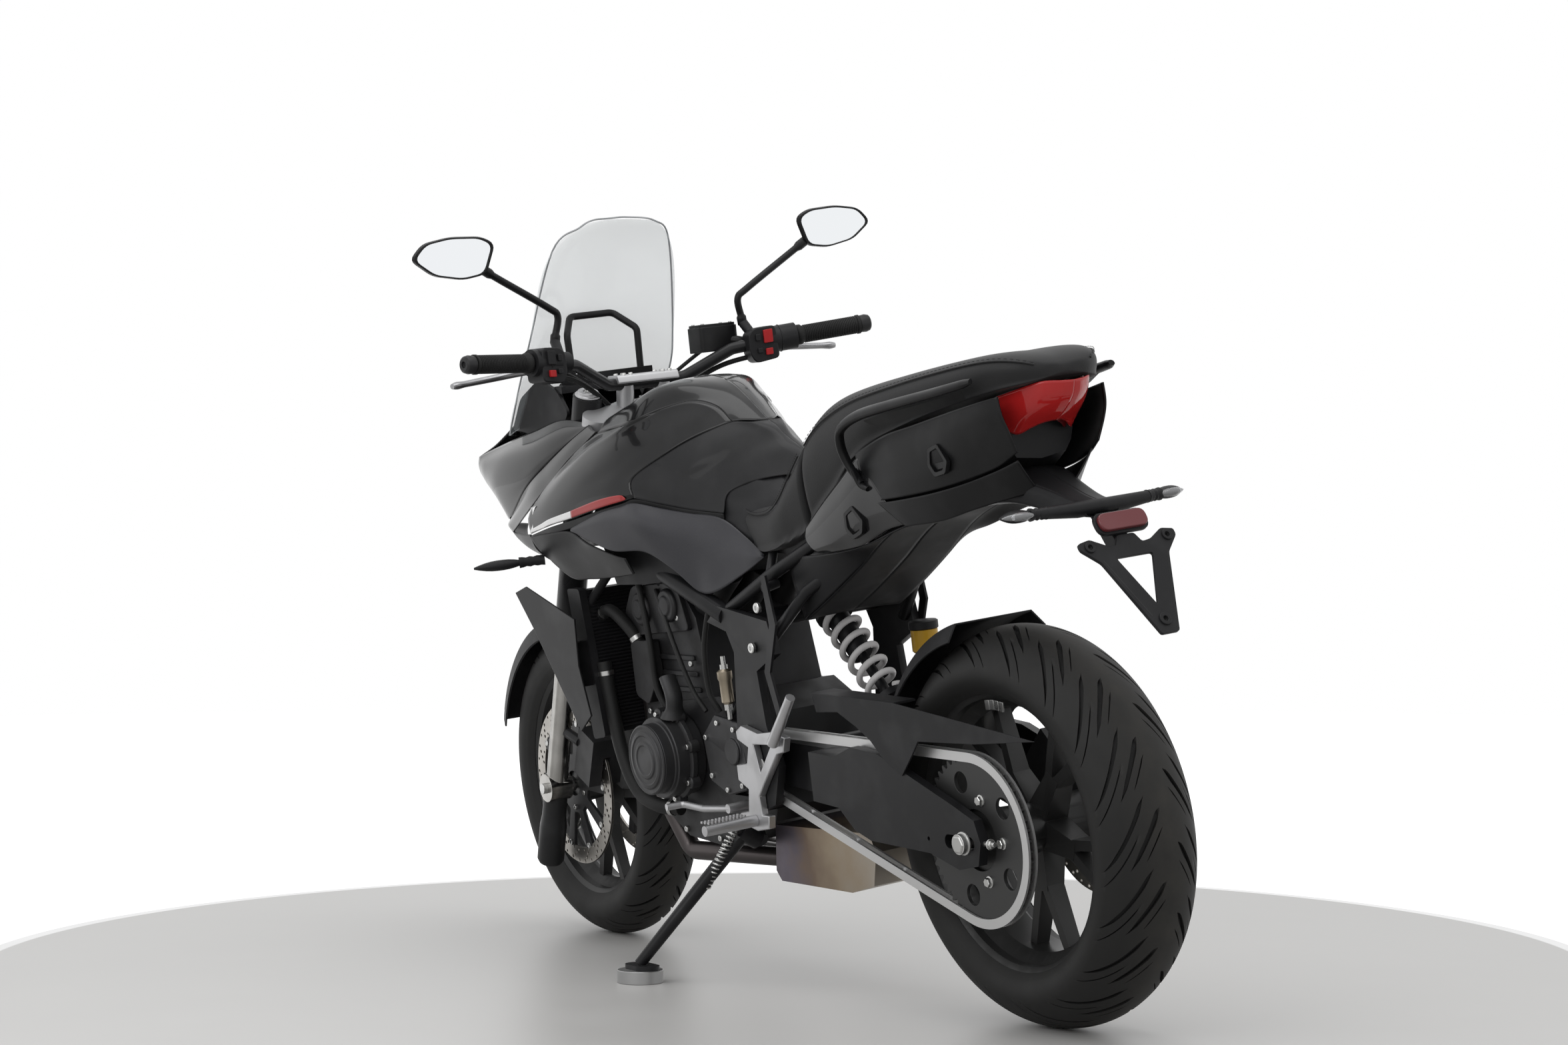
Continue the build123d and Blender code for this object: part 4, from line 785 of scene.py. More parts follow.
# ---------------------------------------------------------------- workshop
class Workshop:
    """Turns forms into finished pieces that ride on the frame."""

    def __init__(self) -> None:
        """Starts with no pieces made."""
        self.made: list[bpy.types.Object] = []

    def raw(self, name: str, form: Form, body: Body) -> bpy.types.Object:
        """A plain mesh object in the row frame."""
        place = np.array(LAYOUT.place(body))
        points = form.points @ place[:3, :3].T + place[:3, 3]
        mesh = bpy.data.meshes.new(name)
        mesh.from_pydata(points.tolist(), [], form.faces)
        for key, values in form.paint.items():
            layer = mesh.attributes.new(key, "FLOAT", "POINT")
            layer.data.foreach_set("value", np.asarray(values, np.float32))
        mesh.validate()
        made = bpy.data.objects.new(name, mesh)
        bpy.context.scene.collection.objects.link(made)
        return made

    def modify(self, piece: bpy.types.Object, kind: str, **settings: object) -> None:
        """Adds a modifier and sets it up."""
        modifier = piece.modifiers.new(kind.lower(), kind)
        for key, value in settings.items():
            setattr(modifier, key, value)

    def panel(self, name: str, half: Form, finish: Finish, *replaces: str, wall: float = 3.0) -> None:
        """Makes a thin panel of the chassis from its left half and the mirror image."""
        self.piece(name, half.both(), finish, Body.CHASSIS, replaces, thick=wall, angle=60)

    def piece(self, name: str, form: Form, finish: Finish, body: Body, replaces: Sequence[str] = (),
              bevel: float = 0.0,
              subdivide: int = 0, thick: float = 0.0, angle: float = 35.0,
              steps: int = 2) -> bpy.types.Object:
        """Makes a finished piece.

        Args:
            name: the piece's name.
            form: its mesh.
            finish: its finish.
            body: the body that it rides on.
            replaces: the frame's nodes that it stands for.
            bevel: rounding of sharp edges in millimetres.
            subdivide: levels of subdivision.
            thick: wall thickness given to an open skin, in millimetres, inwards.
            angle: edges sharper than this stay sharp.
            steps: segments in each bevel.

        Returns:
            The piece.
        """
        made = self.raw(name, form, body)
        mesh = made.data
        work = bmesh.new()
        work.from_mesh(mesh)
        bmesh.ops.recalc_face_normals(work, faces=work.faces)
        work.to_mesh(mesh)
        work.free()
        if thick:
            self.modify(made, "SOLIDIFY", thickness=thick * MM, offset=-1.0, use_even_offset=True)
        if subdivide:
            self.modify(made, "SUBSURF", levels=subdivide, render_levels=subdivide)
        if bevel:
            self.modify(made, "BEVEL", width=bevel * MM, segments=steps, limit_method="ANGLE",
                        angle_limit=math.radians(angle), harden_normals=False, use_clamp_overlap=True)
        return self.finish(made, finish, body, replaces, angle)

    def finish(self, made: bpy.types.Object, finish: Finish, body: Body, replaces: Sequence[str],
               angle: float = 35.0) -> bpy.types.Object:
        """Gives a piece its finish and its place on the frame."""
        made.data.materials.clear()
        made.data.materials.append(finish.material)
        made.data.shade_smooth()
        made.data.set_sharp_from_angle(angle=math.radians(angle))
        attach(made, body.value)
        if replaces:
            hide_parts(*replaces)
        self.made.append(made)
        log.info("%s: %d faces, %s", made.name, len(made.data.polygons), finish.value.name)
        return made

    def dress(self, node: str, finish: Finish, bevel: float = 0.0, angle: float = 32.0) -> None:
        """Shows a frame node in a finish, with its edges rounded if asked."""
        source = frame["nodes"][node]
        if not bevel:
            source.data.materials.clear()
            source.data.materials.append(finish.material)
            for polygon in source.data.polygons:
                polygon.material_index = 0
            return
        made = bpy.data.objects.new(f"{node}_shown", source.data.copy())
        bpy.context.scene.collection.objects.link(made)
        work = bmesh.new()
        work.from_mesh(made.data)
        bmesh.ops.remove_doubles(work, verts=work.verts, dist=0.02 * MM)
        flat = math.radians(1.0)
        bmesh.ops.dissolve_limit(work, angle_limit=flat, verts=work.verts, edges=work.edges,
                                 delimit={"NORMAL"})
        work.to_mesh(made.data)
        work.free()
        self.modify(made, "BEVEL", width=bevel * MM, segments=2, limit_method="ANGLE",
                    angle_limit=math.radians(angle),
                    use_clamp_overlap=True)
        self.finish(made, finish, Body(source["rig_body"]), [node], angle)


# ---------------------------------------------------------------- tank cover, side panels and nose
@dataclass(frozen=True)
class Lines:
    """The lines where the bodywork's panels meet, on the left side."""

    crease: tuple[Point, ...] = ((1008, 147, 974), (940, 148, 981), (885, 145, 988), (838, 108, 1005),
                                 (792, 72, 1014),
                                 (745, 52, 1001), (708, 46, 971))
    seam: tuple[Point, ...] = ((1184, 214, 801), (1092, 218, 817), (1019, 212, 828), (937, 200, 843),
                               (880, 188, 852),
                               (848, 178, 858))
    front: tuple[Point, ...] = ((1184, 214, 801), (1196, 206, 828), (1194, 200, 850), (1138, 190, 887),
                                (1089, 172, 927),
                                (1048, 158, 953), (1008, 147, 974))
    knee_front: tuple[Point, ...] = ((848, 178, 858), (857, 171, 893), (798, 127, 931), (763, 95, 951),
                                     (731, 64, 966),
                                     (708, 46, 971), (670, 28, 968), (664, 0, 968))
    knee_rear: tuple[Point, ...] = ((660, 114, 822), (667, 98, 852), (645, 78, 865), (602, 56, 874),
                                    (561, 28, 876),
                                    (515, 0, 874))
    nose: tuple[Point, ...] = ((1383, 150, 822), (1253, 176, 882), (1176, 168, 923), (1101, 152, 963),
                               (1051, 137, 988))


@dataclass
class FrontBody:
    """The tank's cover and the panels that run from the seat to the nose."""

    lines: Lines = field(default_factory=Lines)
    wall: float = 3.0

    def side(self) -> Form:
        """The gloss panel under the crease."""
        a = self.lines
        return skin([a.seam, [(1196, 207, 835), (1110, 212, 852), (1010, 208, 872), (920, 194, 884),
                              (856, 172, 892)],
                     [(1142, 192, 885), (1050, 197, 905), (950, 190, 918), (870, 165, 925), (800, 130, 930)],
                     [(1066, 165, 942), (985, 174, 950), (900, 160, 962), (820, 124, 965), (757, 91, 954)],
                     a.crease])

    def top(self) -> Form:
        """The gloss cover over the tank's top, left half."""
        return skin([self.lines.crease,
                     [(1010, 118, 998), (945, 116, 1014), (885, 104, 1034), (838, 82, 1038), (790, 54, 1029),
                      (738, 36, 1006),
                      (690, 34, 972)],
                     [(1010, 60, 1014), (945, 60, 1036), (885, 58, 1048), (838, 48, 1049), (785, 30, 1037),
                      (735, 18, 1013),
                      (672, 15, 969)],
                     [(1010, 0, 1020), (945, 0, 1044), (885, 0, 1053), (830, 0, 1052), (778, 0, 1039),
                      (735, 0, 1016),
                      (664, 0, 968)]], gap=0.0)

    def knee(self) -> Form:
        """The satin cover that the rider's knee rests on, left half."""
        a = self.lines
        return skin([a.knee_front,
                     [(800, 158, 845), (795, 152, 872), (745, 118, 908), (716, 84, 934), (692, 58, 949),
                      (664, 34, 955),
                      (642, 16, 957), (640, 0, 957)],
                     [(728, 134, 831), (727, 120, 866), (712, 99, 894), (686, 75, 912), (655, 48, 927),
                      (628, 24, 936),
                      (612, 10, 938), (610, 0, 938)],
                     [(690, 122, 826), (697, 109, 856), (680, 90, 880), (650, 68, 896), (616, 44, 908),
                      (588, 22, 915),
                      (570, 8, 915), (566, 0, 915)],
                     a.knee_rear], 72, 44, 0.0)

    def lower(self) -> Form:
        """The dark grey panel under the seam."""
        return skin([[(1029, 213, 811), (937, 201, 837), (880, 189, 846), (846, 179, 850), (796, 156, 838),
                      (734, 136, 826),
                      (668, 116, 815), (606, 107, 781), (550, 109, 751)],
                     [(1025, 216, 806), (940, 212, 815), (870, 203, 820), (820, 192, 816), (770, 171, 800),
                      (720, 152, 785),
                      (668, 136, 765), (612, 124, 755), (549, 116, 749)],
                     [(1020, 213, 803), (970, 211, 788), (900, 202, 768), (822, 184, 764), (762, 166, 731),
                      (716, 148, 692),
                      (672, 141, 690), (604, 127, 717), (546, 113, 746)]], 110, 30)

    def trim(self) -> Form:
        """The black lip that runs between the gloss and the grey panels."""
        return skin([[(1184, 210, 799), (1092, 214, 815), (1019, 208, 826), (937, 196, 841), (880, 184, 850),
                      (848, 174, 856),
                      (796, 153, 844), (732, 132, 831), (662, 111, 821)],
                     [(1178, 208, 785), (1092, 212, 800), (1019, 206, 812), (937, 196, 828), (880, 184, 838),
                      (848, 174, 844),
                      (796, 151, 832), (732, 131, 819), (662, 110, 808)]], 90, 6, 0.0)

    def wing(self) -> Form:
        """The satin panel that runs forward under the stripe."""
        return skin([[(1184, 214, 797), (1110, 217, 803), (1030, 213, 806), (971, 210, 784), (902, 200, 763),
                      (870, 194, 756)],
                     [(1166, 211, 778), (1105, 208, 765), (1030, 203, 764), (971, 199, 757), (905, 194, 748),
                      (868, 190, 744)],
                     [(1144, 205, 758), (1098, 182, 718), (1030, 180, 716), (970, 180, 718), (905, 182, 723),
                      (864, 184, 727)]])

    def stripes(self) -> tuple[Form, Form]:
        """The white and the red stripe that follow the seam, just proud of the gloss panel."""
        def band(points: Sequence[tuple[float, float, float, float]]) -> Form:
            """A narrow band from points with the height of its upper edge."""
            return skin([[(x, y + 1.4, z + 1.5) for x, y, z, _ in points], [(x, y + 0.9, z + top) for x, y, z,
                                                                            top in points]], 40, 5, 0.0)

        white = band([(1180, 214.5, 802, 7), (1130, 217, 810, 10), (1092, 218.3, 817, 12),
                      (1019, 212.3, 828, 14)])
        block_shape = skin([[(1186, 213.8, 803), (1178, 214.6, 804), (1170, 215.2, 805)],
                            [(1197.5, 205.6, 830), (1186, 207.8, 832), (1176, 209.6, 834)],
                            [(1195.5, 200.8, 848), (1178, 204.8, 850), (1163, 207.6, 852)]], 12, 14, 0.0)
        red = band([(1021, 212.6, 828, 14), (937, 200.6, 843, 16), (880, 188.8, 852, 13),
                    (866, 184.5, 855, 4)])
        return white + block_shape, red

    def collar(self) -> Form:
        """The dark piece between the nose and the gloss panel."""
        inner = [(x + 1.5, y, z) for x, y, z in self.lines.nose]
        front = [(1330, 176, 800), (1194, 200, 850), (1138, 190, 887), (1089, 172, 927), (1048, 158, 953),
                 (1012, 147, 976)]
        return skin([inner, [(1365, 166, 812), (1226, 190, 866), (1158, 180, 905), (1096, 163, 945),
                             (1032, 143, 981)], front])

    def nose(self) -> Form:
        """The nose's left side, from the rim round the instruments down to its lower edge."""
        rim = [(1518, 133, 941), (1474, 133, 950), (1369, 132, 969), (1270, 131, 985), (1170, 130, 1000),
               (1060, 131, 991)]
        return skin([rim, [(1519, 136, 925), (1465, 150, 925), (1368, 163, 934), (1270, 164, 948),
                           (1176, 155, 970), (1058, 136, 989)],
                     [(1519, 133, 908), (1462, 150, 890), (1385, 170, 880), (1272, 178, 900),
                      (1182, 169, 935), (1056, 138, 988)],
                     [(1510, 128, 895), (1470, 132, 868), (1420, 142, 842), *self.lines.nose]], 60, 26)

    def chin(self) -> Form:
        """The dark lower corner of the nose under the white block."""
        return skin([[(1412, 144, 842), (1383, 152, 823), (1330, 176, 801), (1250, 198, 799),
                      (1190, 212, 800)],
                     [(1430, 120, 812), (1395, 140, 800), (1330, 165, 786), (1250, 190, 775),
                      (1180, 205, 770)],
                     [(1436, 88, 803), (1400, 110, 790), (1335, 140, 775), (1250, 165, 758),
                      (1160, 185, 745)]], 48, 20)

    def rim(self) -> Form:
        """The inner wall of the nose that faces the instruments."""
        return skin([[(1516, 131, 941), (1474, 131, 949), (1369, 130, 968), (1270, 129, 984),
                      (1170, 128, 999), (1062, 129, 990)],
                     [(1500, 118, 936), (1440, 116, 936), (1369, 114, 942), (1270, 113, 958),
                      (1170, 112, 985), (1066, 113, 982)]], 60, 10, 0.0)

    def face(self) -> Form:
        """The front face of the nose between its two sides."""
        def across(points: Sequence[Point]) -> list[Point]:
            """A line from the left side over the centre to the right side."""
            return [*points, *[(x, -y, z) for x, y, z in points[::-1] if y > 0]]

        return skin([across([(1518, 133, 941), (1521, 70, 946), (1522, 0, 948)]),
                     across([(1519, 134, 925), (1521, 70, 928), (1522, 0, 929)]),
                     across([(1519, 132, 908), (1519, 70, 905), (1519, 0, 903)]),
                     across([(1512, 128, 895), (1508, 70, 885), (1506, 0, 882)])], 64, 14, 0.4)

    def visor(self) -> Form:
        """The sloping top of the nose in front of the screen."""
        def across(x: float, y: float, z: float, rise: float) -> list[Point]:
            """A bowed line from one side to the other."""
            return [(x, y, z), (x + rise * 0.3, y * 0.5, z + rise * 0.8), (x + rise * 0.4, 0, z + rise)]

        rows = [across(1517, 130, 942, 6), across(1470, 120, 960, 16), across(1420, 112, 985, 20),
                across(1385, 108, 1003, 22)]
        return skin(rows, 30, 24, 0.0).both()

    def bulkhead(self) -> Form:
        """The black inner cowl beside the instruments, left side."""
        return plate(rounded([(1400, 985), (1352, 1044), (1268, 1078), (1205, 1052), (1170, 1010),
                              (1200, 985), (1300, 978)], 12), -115, -109)

    def lining(self) -> Form:
        """The dark inner walls behind every joint, from the steering head to the tail light."""
        halves = [
            (985, [(0, 990), (126, 965), (156, 930), (175, 862), (179, 787), (157, 702), (0, 696)]),
            (880, [(0, 1030), (100, 985), (146, 930), (166, 862), (168, 790), (158, 704), (0, 698)]),
            (760, [(0, 1000), (48, 975), (96, 905), (128, 845), (140, 790), (134, 712), (0, 705)]),
            (640, [(0, 925), (24, 912), (62, 882), (92, 842), (108, 795), (110, 730), (0, 722)]),
            (545, [(0, 862), (20, 856), (50, 848), (78, 830), (92, 800), (94, 752), (0, 745)]),
            (440, [(0, 842), (30, 840), (70, 832), (98, 815), (106, 790), (98, 748), (0, 742)]),
            (200, [(0, 886), (60, 884), (100, 868), (112, 842), (108, 815), (94, 795), (0, 786)]),
            (0, [(0, 935), (60, 932), (96, 916), (102, 890), (96, 866), (78, 846), (0, 840)]),
            (-104, [(0, 962), (40, 960), (60, 948), (64, 926), (58, 906), (46, 890), (0, 884)]),
        ]
        rings = [np.array([(x, y, z) for y, z in half] + [(x, -y, z) for y, z in half[-2:0:-1]])
                 for x, half in halves]
        return loft(rings)

    def build(self, shop: Workshop) -> None:
        """Makes the pieces."""
        chassis = Body.CHASSIS
        shop.panel("tank_top_cover", self.top(), Finish.BLACK_GLOSS, "fuel_tank")
        shop.piece("inner_walls", self.lining(), Finish.PLASTIC, chassis, angle=60)
        shop.panel("tank_side_covers", self.side(), Finish.BLACK_GLOSS, "tank_side_panels")
        shop.panel("knee_covers", self.knee(), Finish.KNEE_SATIN)
        shop.panel("lower_covers", self.lower(), Finish.GREY_SATIN, "lower_side_panels")
        shop.panel("cover_lips", self.trim() + self.wing(), Finish.PLASTIC_FINE)
        white, red = self.stripes()
        shop.panel("white_stripes", white, Finish.WHITE, wall=1.0)
        shop.panel("red_stripes", red, Finish.RED, wall=1.0)
        shop.panel("nose_sides", self.nose() + self.collar(), Finish.BLACK_GLOSS, "nose_fairing")
        shop.panel("nose_chin", self.chin(), Finish.PLASTIC_FINE)
        shop.piece("nose_face", self.face() + self.visor(), Finish.BLACK_GLOSS, chassis, thick=self.wall,
                   angle=60)
        shop.panel("cockpit_walls", self.rim() + self.bulkhead(), Finish.PLASTIC, wall=1.5)


# ---------------------------------------------------------------- seats and tail
@dataclass
class Seats:
    """The rider's and the pillion's seats, with a covered step and seams."""

    rider: tuple[tuple[float, float, float, float], ...] = (
        (672, 84, 842, 800), (640, 92, 838, 785), (600, 104, 833, 768), (552, 118, 834, 756),
        (500, 128, 841, 760), (462, 130, 866, 768), (430, 128, 905, 776), (400, 126, 940, 786),
        (388, 125, 952, 792))
    pillion: tuple[tuple[float, float, float, float], ...] = (
        (387, 125, 953, 796), (350, 124, 984, 822), (300, 122, 1006, 858), (220, 121, 1020, 914),
        (100, 118, 1034, 950), (0, 114, 1044, 972), (-90, 106, 1051, 988), (-140, 92, 1050, 996),
        (-172, 70, 1041, 1001), (-189, 40, 1026, 1006))

    def ring(self, x: float, half: float, top: float, low: float, sink: float = 0.0) -> np.ndarray:
        """One cross outline: a crowned top, rounded shoulders and sides that tuck in."""
        rise = top - low
        shape = [(0, 1.0), (0.35, 0.995), (0.62, 0.97), (0.82, 0.9), (0.94, 0.76), (1.0, 0.56), (0.985, 0.3),
                 (0.93, 0.08), (0.84, 0.0)]
        half_ring = [(x, half * a, low + rise * b - sink * (1 - a)) for a, b in shape]
        right = [(px, -y, z) for px, y, z in half_ring[::-1]]
        return spaced(curve([*half_ring, *right[:-1]], 6, True), 72)

    def pad(self, rows: Sequence[tuple[float, float, float, float]]) -> Form:
        """A closed pad through the rows, rounded at both ends."""
        keys = spaced(curve(rows, 10), 54)
        rings = [self.ring(*key, sink=4.0) for key in keys]
        for end, inner in ((0, 1), (-1, -2)):
            centre = rings[end].mean(0)
            outwards = centre - rings[inner].mean(0)
            rings[end] = centre + (rings[end] - centre) * 0.93 + outwards * 0.1
        return loft(rings)

    def seams(self, rows: Sequence[tuple[float, float, float, float]], share: float) -> Form:
        """A raised sewn seam along each side of a pad, with its stitches."""
        keys = spaced(curve(rows, 10), 70)
        line = [(x, half * 0.945, low + (top - low) * share) for x, half, top, low in keys[2:-2]]
        made = tube(line, 1.5, 8)
        stitches = []
        for a, b in zip(spaced(np.array(line), 120)[:-1:2], spaced(np.array(line), 120)[1::2]):
            middle = (a + b) / 2 + (0, 1.5, 3.6)
            stitches.append(tube([a + (0, 1.0, 3.4), middle, b + (0, 1.0, 3.4)], 0.55, 5))
        return gather([made, *stitches]).both()

    def build(self, shop: Workshop) -> None:
        """Makes the pads and their seams."""
        for name, rows, node, share in (("rider_pad", self.rider, "rider_seat", 0.80),
                                        ("pillion_pad", self.pillion, "pillion_seat", 0.78)):
            pad = shop.piece(name, self.pad(rows), Finish.SEAT, Body.CHASSIS, [node], subdivide=1, angle=80)
            shop.piece(f"{name}_seams", self.seams(rows, share), Finish.SEAT, Body.CHASSIS)


@dataclass
class Tail:
    """The panels under the seat, the grab rails, the tail light and the number plate's holder."""

    def upper(self) -> Form:
        """The side panel under the pillion's seat."""
        return skin([[(222, 122, 914), (134, 123, 940), (58, 120, 953), (-40, 115, 970), (-107, 108, 981),
                      (-146, 100, 987)],
                     [(205, 128, 888), (125, 129, 912), (45, 125, 926), (-45, 118, 940), (-115, 107, 952),
                      (-150, 98, 958)],
                     [(186, 129, 862), (115, 128, 872), (35, 122, 884), (-45, 113, 900), (-110, 101, 915),
                      (-152, 90, 934)],
                     [(165, 127, 838), (105, 124, 842), (30, 116, 850), (-40, 104, 862), (-105, 88, 878),
                      (-150, 76, 900)]], 64, 30)

    def belly(self) -> Form:
        """The panel between the side panel and the undertray."""
        return skin([[(163, 126, 836), (105, 123, 840), (30, 115, 848), (-40, 103, 860), (-104, 87, 876),
                      (-140, 70, 890)],
                     [(128, 121, 812), (95, 119, 816), (25, 110, 824), (-40, 94, 838), (-100, 76, 852),
                      (-136, 50, 862)],
                     [(102, 117, 796), (85, 116, 798), (16, 105, 804), (-40, 86, 818), (-98, 66, 830),
                      (-132, 30, 838)]], 60, 16)

    def pocket_panel(self) -> Form:
        """The panel behind the rider's thigh."""
        return skin([[(384, 127, 797), (330, 128, 833), (268, 127, 872), (222, 125, 903), (206, 124, 908)],
                     [(382, 131, 778), (330, 133, 802), (262, 133, 835), (205, 131, 868), (170, 129, 872)],
                     [(362, 130, 760), (310, 132, 775), (240, 130, 800), (180, 127, 822), (140, 125, 834)],
                     [(345, 122, 755), (300, 125, 758), (225, 123, 768), (160, 120, 790), (104, 118, 800)]],
                    64, 30)

    def undertray(self) -> Form:
        """The flat black tray over the rear wheel, with its sides."""
        low = [(468, 94, 642), (385, 92, 682), (300, 88, 728), (190, 82, 790), (0, 68, 846)]
        side = skin([[(470, 112, 748), (350, 118, 754), (230, 119, 768), (104, 115, 799), (0, 98, 812)],
                     [(470, 106, 700), (385, 106, 716), (270, 102, 754), (150, 94, 802), (0, 80, 832)], low],
                    48, 20, 0.3)
        floor = skin([low, [(x, y / 2, z + 2) for x, y, z in low], [(x, 0, z + 3) for x, y, z in low]], 48,
                     14, 0.0)
        return side + floor

    def pocket(self, centre: Point, size: float, lean: float) -> Form:
        """A moulded catch point: a raised six-sided rim with a dark hook inside."""
        shape = [(-0.95, -0.55), (-0.35, -1.05), (0.72, -0.75), (1.0, 0.1), (0.42, 0.95), (-0.6, 0.8)]
        turn = math.radians(lean)
        outer = [(size * (a * math.cos(turn) - b * math.sin(turn)),
                  size * (a * math.sin(turn) + b * math.cos(turn))) for a, b in shape]
        inner = [(x * 0.72, z * 0.72) for x, z in outer]
        rim = plate(rounded(outer, size * 0.16), -4.5, 3.0, centre, holes=[rounded(inner, size * 0.12)])
        hook = plate(rounded([(x * 0.6, z * 0.6) for x, z in outer[:4]], size * 0.1), -6.0, -1.5, centre)
        return rim + hook

    def rails(self) -> Form:
        """The left grab rail, a flat bar that loops back under itself."""
        line = curve([(196, 133, 868), (214, 142, 902), (216, 150, 932), (202, 154, 956), (150, 154, 975),
                      (60, 151, 988),
                      (-40, 146, 1000), (-105, 138, 1009), (-128, 132, 1013)], 8)
        wide = np.interp(np.linspace(0, 1, len(line)), [0, 0.15, 0.5, 0.9, 1], [7.5, 9.5, 11, 8.5, 5.5])
        rail = tube(line, wide, 18, squash=0.72)
        foot = tube(curve([(182, 128, 858), (196, 133, 866), (202, 140, 890)], 6), 9.0, 14, squash=0.5)
        web = skin([[(150, 146, 966), (60, 143, 978), (-40, 138, 990), (-100, 130, 1000)],
                    [(130, 132, 952), (60, 130, 962), (-30, 124, 976), (-90, 116, 986)]], 40, 6, 0.0)
        return rail + foot + web

    def lamp(self) -> tuple[Form, Form]:
        """The tail light's wrapped lens and the reflectors behind it."""
        def cut(grow: float) -> list[list[Point]]:
            """Rows of the lens from its top to its foot."""
            rows = [[(-110, 74, 985), (-150, 61, 994), (-184, 45, 1001), (-202, 20, 999), (-207, 0, 998)],
                    [(-110, 73, 968), (-146, 60, 974), (-177, 44, 979), (-193, 20, 977), (-198, 0, 976)],
                    [(-109, 70, 950), (-136, 58, 953), (-161, 41, 957), (-174, 19, 957), (-178, 0, 957)],
                    [(-108, 66, 934), (-118, 50, 925), (-134, 30, 934), (-145, 14, 939), (-151, 0, 940)]]
            return [[(x + grow, y - grow * 0.5 if y else 0.0, z) for x, y, z in row] for row in rows]

        lens = skin(cut(0.0), 40, 20, 0.0).both()
        back = skin(cut(9.0), 30, 16, 0.0).both()
        facets = []
        for i in range(5):
            for j in range(4):
                y, z = 8 + i * 12, 944 + j * 13
                deep = -133 - (z - 944) * 0.95 + max(0, y - 20) * 0.95
                facets.append(lathe([(0, 5.6), (3, 4.6), (5.0, 2.0), (5.5, 0)], (deep, y, z),
                                    (-1, 0.6 if y > 30 else 0.1, 0), 6))
        return lens, back + gather(facets).both()

    def arm(self) -> Form:
        """The left half of the arm that carries the plate holder."""
        shoulder = [(30, 60, 872), (-30, 62, 868), (-90, 52, 862), (-150, 36, 842), (-200, 28, 824),
                    (-236, 26, 815)]
        rows = [shoulder, [(20, 88, 850), (-30, 76, 850), (-90, 60, 846), (-150, 42, 828), (-200, 34, 812),
                           (-238, 32, 806)],
                [(30, 76, 822), (-30, 68, 826), (-90, 54, 824), (-150, 38, 810), (-200, 30, 800),
                 (-238, 28, 797)],
                [(30, 20, 815), (-30, 18, 818), (-90, 14, 816), (-150, 8, 803), (-200, 6, 796),
                 (-238, 4, 794)]]
        top = [shoulder, [(30, 0, 880), (-30, 0, 878), (-90, 0, 870), (-150, 0, 848), (-200, 0, 828),
                          (-236, 0, 818)]]
        return skin(rows, 44, 20, 0.0) + skin(top, 44, 8, 0.0)

    def holder(self) -> Form:
        """The forked plate holder with its window and holes."""
        top, low = np.array((-286.0, 0, 762)), np.array((-366.0, 0, 624))
        up = unit(top - low)
        size = float(np.linalg.norm(top - low))
        outline = [(-88, 2), (-88, -9), (-62, -34), (-16, -size), (16, -size), (62, -34), (88, -9), (88, 2),
                   (66, 6), (40, -8), (24, -10),
                   (16, 6), (-16, 6), (-24, -10), (-40, -8), (-66, 6)]
        window = rounded([(-34, -30), (0, -size + 46), (34, -30)], 6)
        holes = [circle(s * 71, -15 + 8, 3.3, 16) for s in (-1, 1)] + [circle(0, -size + 22, 4.2, 18)]
        face = plate(rounded(outline, 4, 4), -3, 3, tuple(top), (0, 1, 0), tuple(up), [window, *holes])
        normal = np.cross(up, (0, 1, 0))
        bosses = []
        for x, y, r in ((-71, -7, 9.5), (71, -7, 9.5), (0, -size + 22, 11)):
            at = top + np.array((0, x, 0)) + up * y
            bosses.append(lathe([(-3, r), (5.5, r - 1), (5.5, 4.2), (-5, 4.2)], at, normal, 28, True))
        ribs = []
        for s in (-1, 1):
            a = top + np.array((0, s * 58, 0)) + up * -30
            b = top + np.array((0, s * 19, 0)) + up * (-size + 30)
            ribs.append(tube([a - normal * 1, b - normal * 1], 5.0, 10, squash=0.8))
        return gather([face, *bosses, *ribs])

    def indicator(self, root: Point, tip: Point, flat: float = 0.62) -> tuple[Form, Form, Form]:
        """A slim indicator: its ribbed stalk and housing, its clear lens, and the diodes inside."""
        a, b = np.array(root, float), np.array(tip, float)
        out = unit(b - a)
        length = float(np.linalg.norm(b - a))
        neck = [a + out * t for t in np.linspace(0, length * 0.36, 8)]
        stalk = tube(neck, [10, 9, 9.5, 8, 9.5, 8, 9.5, 10], 16)
        spine = [a + out * t for t in np.linspace(length * 0.34, length, 9)]
        shell = tube(spine, [8, 12, 14.5, 15.5, 15.5, 14.5, 12, 8, 3], 20, squash=flat)
        lens_line = [p + np.array((-5.5, 0, 0)) for p in spine]
        lens = tube(lens_line, [5, 9, 11.5, 12.5, 12.5, 11.5, 9, 6, 2], 20, squash=flat * 0.95)
        dots = [lathe([(0, 4), (1.2, 3.4), (1.6, 0)], a + out * length * t + np.array((-12.5, 0, 0)),
                      (-1, 0, 0), 14) for t in (0.55, 0.68, 0.81)]
        return stalk + shell, lens, gather(dots)

